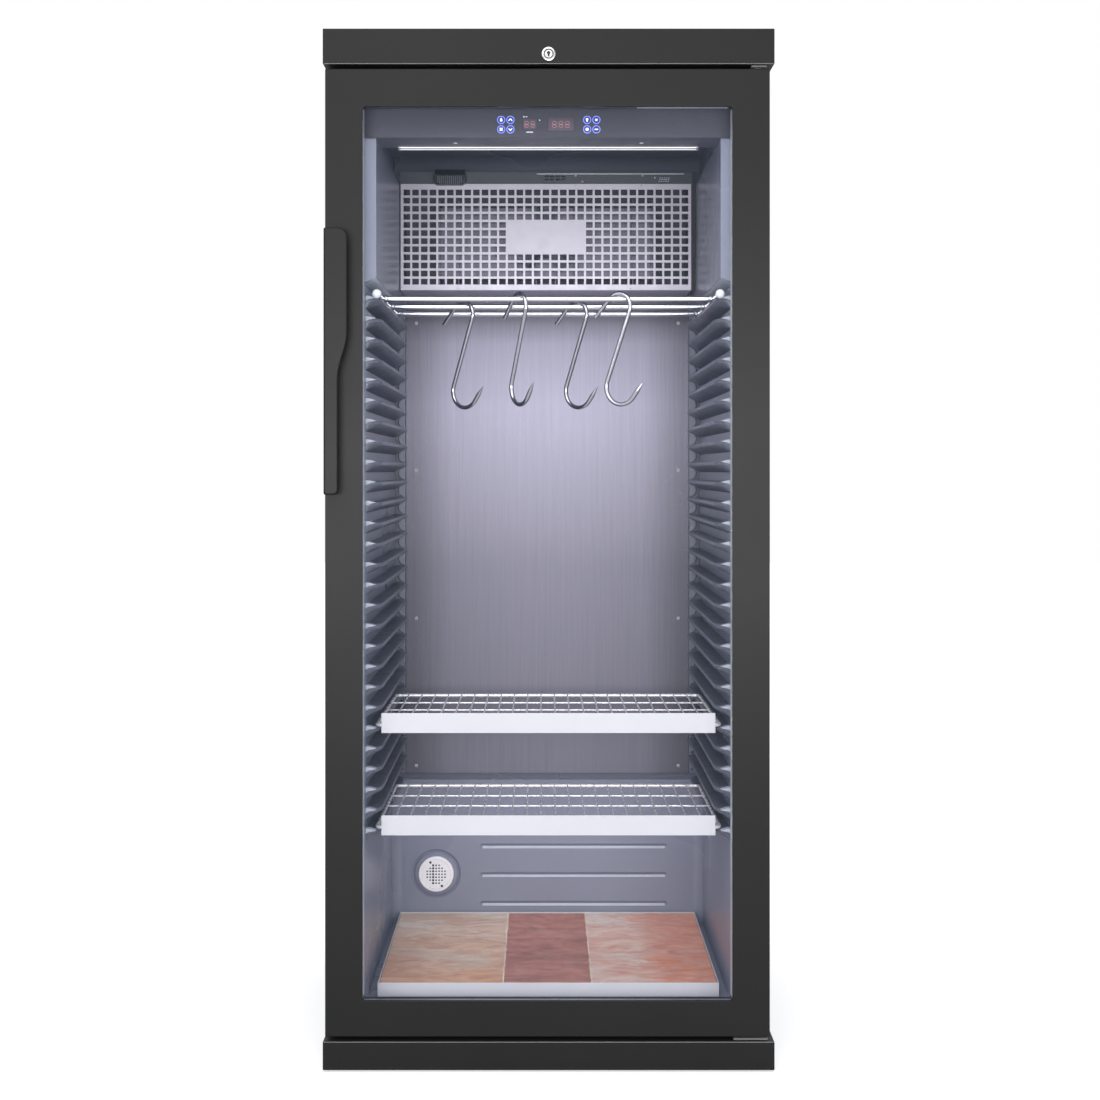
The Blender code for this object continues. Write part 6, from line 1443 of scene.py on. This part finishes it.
def light_bar():
    """Lit half-round diffuser in a slim metal channel with end caps, and the lip in front of it."""
    front, rear = (at_depth(depth) for depth in LIGHT_DEPTH)
    middle = (front + rear) / 2
    half = (rear - front) / 2 - LIGHT_SHEET
    ceiling = LIGHT_HIGH - LIGHT_SHEET
    inner = LIGHT_HALF - LIGHT_CAP
    bm = bmesh.new()
    add_prism(bm, [(middle + half * math.cos(a), ceiling - (ceiling - LIGHT_LOW) * math.sin(a))
                   for a in [math.pi * i / 12 for i in range(13)]], "X", -inner, inner)
    stand_in("light_bar", bm)
    bm = bmesh.new()
    add_box(bm, (-LIGHT_HALF, LIGHT_HALF), (front, rear), (ceiling, LIGHT_HIGH))
    for side in (-1, 1):
        add_box(bm, sided(side, LIGHT_HALF, inner), (front, rear), (LIGHT_LOW, ceiling))
    piece("light_channel", bm, EXTRA["screw"], "light_diffuser", sharp_deg=30, bevel=0.0003)
    bm = bmesh.new()
    height = (LIGHT_LOW, LIGHT_LOW + LIGHT_LIP)
    add_box(bm, (-LIGHT_HALF, LIGHT_HALF), (front - LIP_THICK, front - CLEAR), height)
    piece("light_lip", bm, EXTRA["housing"], "light_diffuser")


def strip_marks():
    """Small pale slots at the right of the evaporator's upper strip."""
    places = [(SLOT_X + column * SLOT_PITCH_X + row * SLOT_SKEW, SLOT_Z - row * SLOT_PITCH_Z)
              for row in range(SLOT_ROWS) for column in range(SLOT_COLUMNS)]
    outlines = [rectangle((x, x + SLOT_WIDE), (z - SLOT_TALL, z)) for x, z in places]
    flat("strip_slots", outlines, EXTRA["pale_marks_and_painted_light"], EVAP_FRONT - CLEAR * 2, CLEAR * 2, "cover_paint")


def sensor_cover():
    """Dark ribbed cover with round lower corners under a slim hood; its ribs are a lighter grey as painted
    highlights.
    """
    low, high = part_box("humidity_sensor_cover")
    top = high.z - SENSOR_HOOD
    face = low.y + SENSOR_FACE
    foot = low.z + SENSOR_RADIUS
    outline = [(high.x, top)] + arc((high.x - SENSOR_RADIUS, foot), SENSOR_RADIUS, 0, -90, 8)
    outline += arc((low.x + SENSOR_RADIUS, foot), SENSOR_RADIUS, -90, -180, 8) + [(low.x, top)]
    bm = bmesh.new()
    add_prism(bm, outline, "Y", face, high.y)
    stand_in("humidity_sensor_cover", bm, bevel=0.0012, angle=40)
    bm = bmesh.new()
    outline = [(low.y + HOOD_PROUD, top), (high.y, top), (high.y, high.z), (high.y - HOOD_SLOPE, high.z)]
    add_prism(bm, outline, "X", low.x + HOOD_INSET, high.x - HOOD_INSET)
    piece("sensor_hood", bm, FINISHES["black_plastic"], "black_plastic", sharp_deg=40, bevel=0.0012)
    # ribs in a lighter grey: painted highlights
    bm = bmesh.new()
    last = SENSOR_RIBS - 1
    for i in range(SENSOR_RIBS):
        x = (low.x + high.x) / 2 + (i - last / 2) * SENSOR_RIB_PITCH
        inset = SENSOR_END_FOOT if i in (0, last) else SENSOR_RIB_FOOT
        add_prism(bm, arc((x, face + SENSOR_RIB_SINK), SENSOR_RIB_RADIUS, 180, 360, 6), "Z", low.z + inset,
                  top - SENSOR_RIB_TOP)
    piece("sensor_ribs", bm, EXTRA["grille_highlight"], "black_plastic", sharp_deg=50)


def trims():
    """Hemmed edges of cap and plinth in a lighter coat as painted highlights, and a thin rail over the fan
    cover whose white is a painted highlight.
    """
    half = CAP_HALF - 2 * HEM
    # hems in a lighter coat: painted highlights along the edges
    bm = bmesh.new()
    for z in (CAP_LOW + HEM, PLINTH_HIGH - HEM):
        add_prism(bm, circle((at_depth(HEM), z), HEM, 12), "X", -half, half)
    piece("sheet_hem_highlights", bm, EXTRA["hem_highlight"], "charcoal_paint", sharp_deg=50)
    # thin rail whose white stands in for a highlight: painted highlight
    bm = bmesh.new()
    add_prism(bm, circle((at_depth(EVAP_FRONT - TRIM_PROUD), TRIM_Z), TRIM_RADIUS, 12), "X", *TRIM_X)
    piece("evaporator_trim", bm, EXTRA["trim_painted_highlight"], "cover_paint", sharp_deg=50)


def shade_gaps():
    """Painted shade in the gaps beside the evaporator housing, and pale skins of painted light under the side
    bulges.
    """
    low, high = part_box("evaporator_housing")
    reach = BULGE_HALF - CLEAR
    bm = bmesh.new()
    # black strips of painted shade in the gaps
    for x in ((-reach, low.x - CLEAR), (high.x + CLEAR, reach)):
        add_box(bm, x, (at_depth(GAP_FRONT), at_depth(GAP_REAR)), (low.z, high.z))
    piece("housing_gap_shade", bm, EXTRA["painted_shade"], "liner_plastic")
    # pale skins under the bulges' slopes: painted light where the undersides face away from the lamps
    wall = CHAMBER_HALF - CLEAR
    start = BULGE_HALF + SKIN_INSET
    top = BULGE_BOTTOM - SKIN_DROP - CLEAR
    foot = BULGE_BOTTOM - BULGE_SLOPE * (wall - BULGE_HALF) / (CHAMBER_HALF - BULGE_HALF) - CLEAR
    bm = bmesh.new()
    for side in (-1, 1):
        outline = [(side * start, top), (side * wall, foot), (side * wall, foot - SKIN_THICK),
                   (side * start, top - SKIN_THICK)]
        add_prism(bm, outline, "Y", at_depth(SKIN_FRONT), at_depth(SKIN_REAR))
    piece("bulge_painted_light", bm, EXTRA["pale_marks_and_painted_light"], "liner_plastic")


# Screws

def add_screw(bm, painted_shade, place, axis, sign, radius):
    """A pan head on a surface; axis and sign say which way it faces."""
    across, up, along = frame_of(axis)
    height = radius * SCREW_HEIGHT
    centre = (place.dot(across), place.dot(up))
    base = place.dot(along)
    sunk = base - sign * SCREW_SINK
    profile = [(0, sunk), (radius, sunk), (radius, base + sign * height * SCREW_RIM)]
    profile += [(radius * math.cos(a), base + sign * height * (SCREW_RIM + (1 - SCREW_RIM) * math.sin(a)))
                for a in map(math.radians, (20, 40, 60, 78))]
    add_turned(bm, profile + [(0, base + sign * height)], axis, centre, 24)
    # the cross drive: black prisms of painted shade
    arm, width = radius * DRIVE_ARM, radius * DRIVE_WIDTH
    low, high = sorted((base + sign * height * DRIVE_FLOOR, base + sign * (height + SCREW_OVER)))
    for a, b in ((arm, width), (width, arm)):
        outline = rectangle((centre[0] - a, centre[0] + a), (centre[1] - b, centre[1] + b))
        add_prism(painted_shade, outline, axis, low, high)


def screws(name, places, axis, sign, radius, slot="stainless"):
    heads = bmesh.new()
    painted_shade = bmesh.new()
    for place in places:
        add_screw(heads, painted_shade, Vector(place), axis, sign, radius)
    piece(name, heads, EXTRA["screw"], slot, sharp_deg=40)
    piece(f"{name}_drive", painted_shade, EXTRA["painted_shade"], slot, sharp_deg=40)


def all_screws():
    panel, strip, rear = (at_depth(depth) for depth in (BACK_PANEL_DEPTH, EVAP_FRONT, REAR_SCREW_DEPTH))
    edge = REAR_SCREW_X
    fascia = at_depth(FASCIA_SCREW_DEPTH)
    places = [(side * PANEL_SCREW_X, panel, z) for side in (-1, 1) for z in PANEL_SCREW_ROWS]
    screws("panel_screws", places, "Y", -1, PANEL_SCREW)
    places = [(side * FASCIA_SCREW_X, fascia, FASCIA_SCREW_Z) for side in (-1, 1)]
    screws("fascia_screws", places, "Z", -1, FASCIA_SCREW)
    screws("strip_screws", [(x, strip, z) for x, z in STRIP_SCREWS], "Y", -1, SMALL_SCREW)
    screws("cover_screws", [(x, strip, z) for x, z in COVER_SCREWS], "Y", -1, SMALL_SCREW)
    places = [(x, rear, z) for x in (-edge, 0, edge) for z in REAR_SCREW_ROWS]
    places += [(x, rear, z) for x in (-edge, edge) for z in COVER_SCREW_ROWS]
    screws("rear_screws", places, "Y", 1, REAR_SCREW, "grey_steel")


# Salt

def salt_top(bm, low, high):
    """Rough upper face of a block with chipped edges; returns its border's points in order."""
    columns = max(8, round((high.x - low.x) / SALT_CELL))
    rows = round((high.y - low.y) / SALT_CELL)
    grid = []
    for i in range(columns + 1):
        grid.append([])
        for j in range(rows + 1):
            x = low.x + (high.x - low.x) * i / columns
            y = low.y + (high.y - low.y) * j / rows
            drop = SALT_TOP_DROP + abs(noise.noise(Vector((x, y, 0)) * SALT_ROUGH_SCALE)) * SALT_ROUGH
            if i in (0, columns) or j in (0, rows):
                drop += max(0.0, noise.noise(Vector((x, y, 1)) * SALT_CHIP_SCALE)) * SALT_CHIP
                x = min(max(x, low.x + SALT_INSET), high.x - SALT_INSET)
                y = min(max(y, low.y + SALT_INSET), high.y - SALT_INSET)
            grid[i].append(bm.verts.new((x, y, high.z - drop)))
    for i in range(columns):
        for j in range(rows):
            bm.faces.new((grid[i][j], grid[i + 1][j], grid[i + 1][j + 1], grid[i][j + 1]))
    near = [grid[i][0] for i in range(columns)]
    right = [grid[columns][j] for j in range(rows)]
    far = [grid[i][rows] for i in range(columns, 0, -1)]
    left = [grid[0][j] for j in range(rows, 0, -1)]
    return near + right + far + left


def snapped(value, low, high):
    """The block's own limit where a border point lies close to it."""
    near = SALT_INSET * 1.5
    if value - low < near:
        return low
    return high if high - value < near else value


def salt_blocks():
    """Sawn blocks with slightly chipped edges."""
    for label in ("left", "middle", "right"):
        node = f"salt_block_{label}"
        low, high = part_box(node)
        bm = bmesh.new()
        rim = salt_top(bm, low, high)
        sides = [(snapped(v.co.x, low.x, high.x), snapped(v.co.y, low.y, high.y)) for v in rim]
        shoulder, foot = [[bm.verts.new((x, y, z)) for x, y in sides]
                          for z in (high.z - SALT_SHOULDER, low.z)]
        bridge(bm, rim, shoulder)
        bridge(bm, shoulder, foot)
        bm.faces.new(foot)
        stand_in(node, bm, sharp_deg=50)


def add_crumb(bm, x, y, top, crumb, tilted):
    """A small cube near a place on a block's top, with a random size, place and turn."""
    (least, more), spread, sink = crumb
    size = least + more * noise.random()
    x += (noise.random() - 0.5) * spread[0]
    y += (noise.random() - 0.5) * spread[1]
    centre = Vector((x, y, top - size * sink))
    turn = Matrix.Rotation(noise.random() * math.tau, 4, "Z")
    if tilted:
        turn = turn @ Matrix.Rotation(noise.random(), 4, "X")
    bmesh.ops.create_cube(bm, size=size * CRUMB_WIDER, matrix=Matrix.Translation(centre) @ turn)


def crumbs():
    """Light scratch across the left block, and crumbs in the joints beside the middle one."""
    bm = bmesh.new()
    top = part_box("salt_block_left")[1].z - CRUMB_SINK
    start, end = Vector(SCRATCH[0]), Vector(SCRATCH[1])
    for i in range(SCRATCH_COUNT):
        x, y = start.lerp(end, i / (SCRATCH_COUNT - 1))
        add_crumb(bm, x, y, top, SCRATCH_CRUMB, False)
    piece("salt_scratch", bm, EXTRA["crumbs"], "sand_salt", "salt_block_left", 20)
    bm = bmesh.new()
    low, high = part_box("salt_block_middle")
    for x in JOINTS_X:
        for i in range(JOINT_COUNT):
            y = low.y + JOINT_END + (high.y - low.y - 2 * JOINT_END) * i / (JOINT_COUNT - 1)
            add_crumb(bm, x, y, high.z - CRUMB_SINK, JOINT_CRUMB, True)
    piece("salt_joint_crumbs", bm, EXTRA["crumbs"], "rose_salt", "salt_block_middle", 20)


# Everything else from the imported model

REFINED = {
    "top_cap": {"bevel": 0.0016, "segments": 4},
    "base_plinth": {"bevel": 0.0012},
    "door_frame": {"bevel": 0.0014, "segments": 4},
    "door_gasket": {"bevel": 0.0022, "segments": 4},
    "back_panel": {"bevel": 0.0004, "finish": EXTRA["back_panel"]},
    "evaporator_housing": {"bevel": 0.0006, "finish": EXTRA["housing"]},
    "salt_tray": {"bevel": 0.0005},
    "strike_plate": {"bevel": 0.0002},
    "upper_hinge_bracket": {"bevel": 0.0005, "finish": EXTRA["bracket"]},
    "lower_hinge_bracket": {"bevel": 0.0005, "finish": EXTRA["bracket"]},
    "side_panel_left": {"bevel": 0.0003},
    "side_panel_right": {"bevel": 0.0003},
    "rear_panel": {"bevel": 0.0003},
}


def carried_over():
    """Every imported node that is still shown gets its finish."""
    for node, obj in NODES.items():
        if not obj.hide_render:
            obj.data.materials.clear()
            obj.data.materials.append(CARRIED.get(node, FINISHES[SLOT_OF[node]]).material)


# Light, backdrop and camera

BACK_LAMP = ((0.5, 3.0, 3.2), (0, 0, 1.0), 2.4, 2.0, 60)
FRONT_LAMPS = {
    # name: place, target, width, height, watts
    "key": ((-0.5, -2.5, 3.3), (0, 0, 1.1), 2.0, 2.0, 47),
    "softbox": ((0.0, -3.7, 1.00), (0, 0, 1.00), 3.4, 0.6, 60),
    "rail_glow": ((0.0, -3.72, 0.98), (0, 0, 0.98), 3.4, 0.5, 118),
}
INNER_LAMPS = {
    # name: x, depth and height of the place, depth and height of the target, width, height, watts, colour
    "chamber": (0, 0.300, 1.30, 0.640, 1.00, 0.46, 0.06, 0.95, (0.93, 0.94, 1.0)),
    "window": (0, 0.0665, 0.86, 0.5, 0.86, 0.648, 1.52, 2.65, (0.95, 0.96, 1.0)),
    "tray": (0, 0.430, 0.376, 0.540, 0.100, 0.54, 0.03, 0.42, (1.0, 0.98, 0.98)),
    "evaporator": (EVAP_X, 0.524, 1.51, 0.600, 1.51, 0.48, 0.18, 0.24, (0.93, 0.94, 1.0)),
}


def area_light(name, place, target, width, height, energy, colour=(1, 1, 1)):
    data = bpy.data.lights.new(name, "AREA")
    data.shape = "RECTANGLE"
    data.size = width
    data.size_y = height
    data.energy = energy
    data.color = colour
    obj = bpy.data.objects.new(name, data)
    bpy.context.scene.collection.objects.link(obj)
    obj.location = place
    obj.rotation_euler = (Vector(target) - Vector(place)).to_track_quat("-Z", "Y").to_euler()
    obj.visible_camera = False
    obj.visible_glossy = False
    return obj


def lights():
    for name, values in FRONT_LAMPS.items():
        area_light(name, *values).visible_glossy = True
    bpy.data.objects["rail_glow"].visible_diffuse = False
    area_light("back", *BACK_LAMP)
    for name, (x, depth, z, target_depth, target_z, *values) in INNER_LAMPS.items():
        area_light(name, (x, at_depth(depth), z), (x, at_depth(target_depth), target_z), *values)
    bpy.data.objects["window"].visible_glossy = True


def world():
    """White where it is seen, mirrored or looked at through glass, and dimmer as a light."""
    made = bpy.data.worlds.new("studio")
    bpy.context.scene.world = made
    made.use_nodes = True
    tree = made.node_tree
    path = add_node(tree, "ShaderNodeLightPath").outputs
    seen = path["Is Camera Ray"]
    for other in ("Is Glossy Ray", "Is Transmission Ray"):
        either = add_node(tree, "ShaderNodeMath", {0: seen, 1: path[other]}, operation="MAXIMUM")
        seen = either.outputs["Value"]
    mix = add_node(tree, "ShaderNodeMix", {0: seen, 6: BACKDROP_LIGHT, 7: BACKDROP_WHITE}, data_type="RGBA")
    feed(tree, tree.nodes["Background"].inputs["Color"], mix.outputs[2])


def floor():
    """Pale floor that, seen by the camera, has a painted glow rising with distance from the middle, so it is
    dimmer near the object and fades into the white backdrop away from it.
    """
    bm = bmesh.new()
    limits = (-FLOOR_HALF, FLOOR_HALF)
    bm.faces.new([bm.verts.new((x, y, 0)) for x, y in rectangle(limits, limits)])
    obj = solid("floor", bm)
    made = bpy.data.materials.new("pale_floor")
    made.use_nodes = True
    tree = made.node_tree
    tree.nodes.clear()
    plain = add_node(tree, "ShaderNodeBsdfDiffuse", {"Color": FLOOR_GREY})
    dim = add_node(tree, "ShaderNodeBsdfDiffuse", {"Color": FLOOR_SEEN_GREY})
    place = add_node(tree, "ShaderNodeTexCoord")
    reach = add_node(tree, "ShaderNodeVectorMath", {0: place.outputs["Object"]}, operation="LENGTH")
    spread = add_node(tree, "ShaderNodeMapRange", {
        "Value": reach.outputs["Value"], "From Min": GLOW_START, "From Max": GLOW_END, "To Min": GLOW_NEAR,
        "To Max": GLOW_FAR})
    glow = add_node(tree, "ShaderNodeEmission", {"Strength": spread.outputs["Result"]})
    bright = add_node(tree, "ShaderNodeAddShader", {0: dim.outputs[0], 1: glow.outputs[0]})
    path = add_node(tree, "ShaderNodeLightPath")
    mix = add_node(tree, "ShaderNodeMixShader", {0: path.outputs["Is Camera Ray"], 1: plain.outputs[0],
                                                 2: bright.outputs[0]})
    add_node(tree, "ShaderNodeOutputMaterial", {"Surface": mix.outputs[0]})
    obj.data.materials.append(made)


def camera():
    data = bpy.data.cameras.new("camera")
    data.sensor_width = 36
    data.lens = LENS_PIXELS / PICTURE * data.sensor_width
    data.shift_x = SHIFT_X_PIXELS / PICTURE
    data.shift_y = SHIFT_Y_PIXELS / PICTURE
    data.clip_end = 60
    obj = bpy.data.objects.new("camera", data)
    bpy.context.scene.collection.objects.link(obj)
    obj.location = CAMERA_PLACE
    obj.rotation_euler = (math.radians(90), 0, 0)
    bpy.context.scene.camera = obj


noise.seed_set(7)
camera()
world()
floor()
lights()
liner()
groove_lights()
ribs()
scallops()
rack()
hooks()
for shelf_name in SHELF_MIDDLES:
    shelf(shelf_name)
handle()
lock()
filter_cap()
controls()
light_bar()
sensor_cover()
strip_marks()
trims()
shade_gaps()
inner_frame()
all_screws()
salt_blocks()
crumbs()
for refined_node, settings in REFINED.items():
    refined(refined_node, **settings)
for number in (1, 2, 3, 4):
    refined(f"levelling_foot_{number}", bevel=0.0006)
carried_over()

bpy.context.scene.view_settings.view_transform = "Standard"
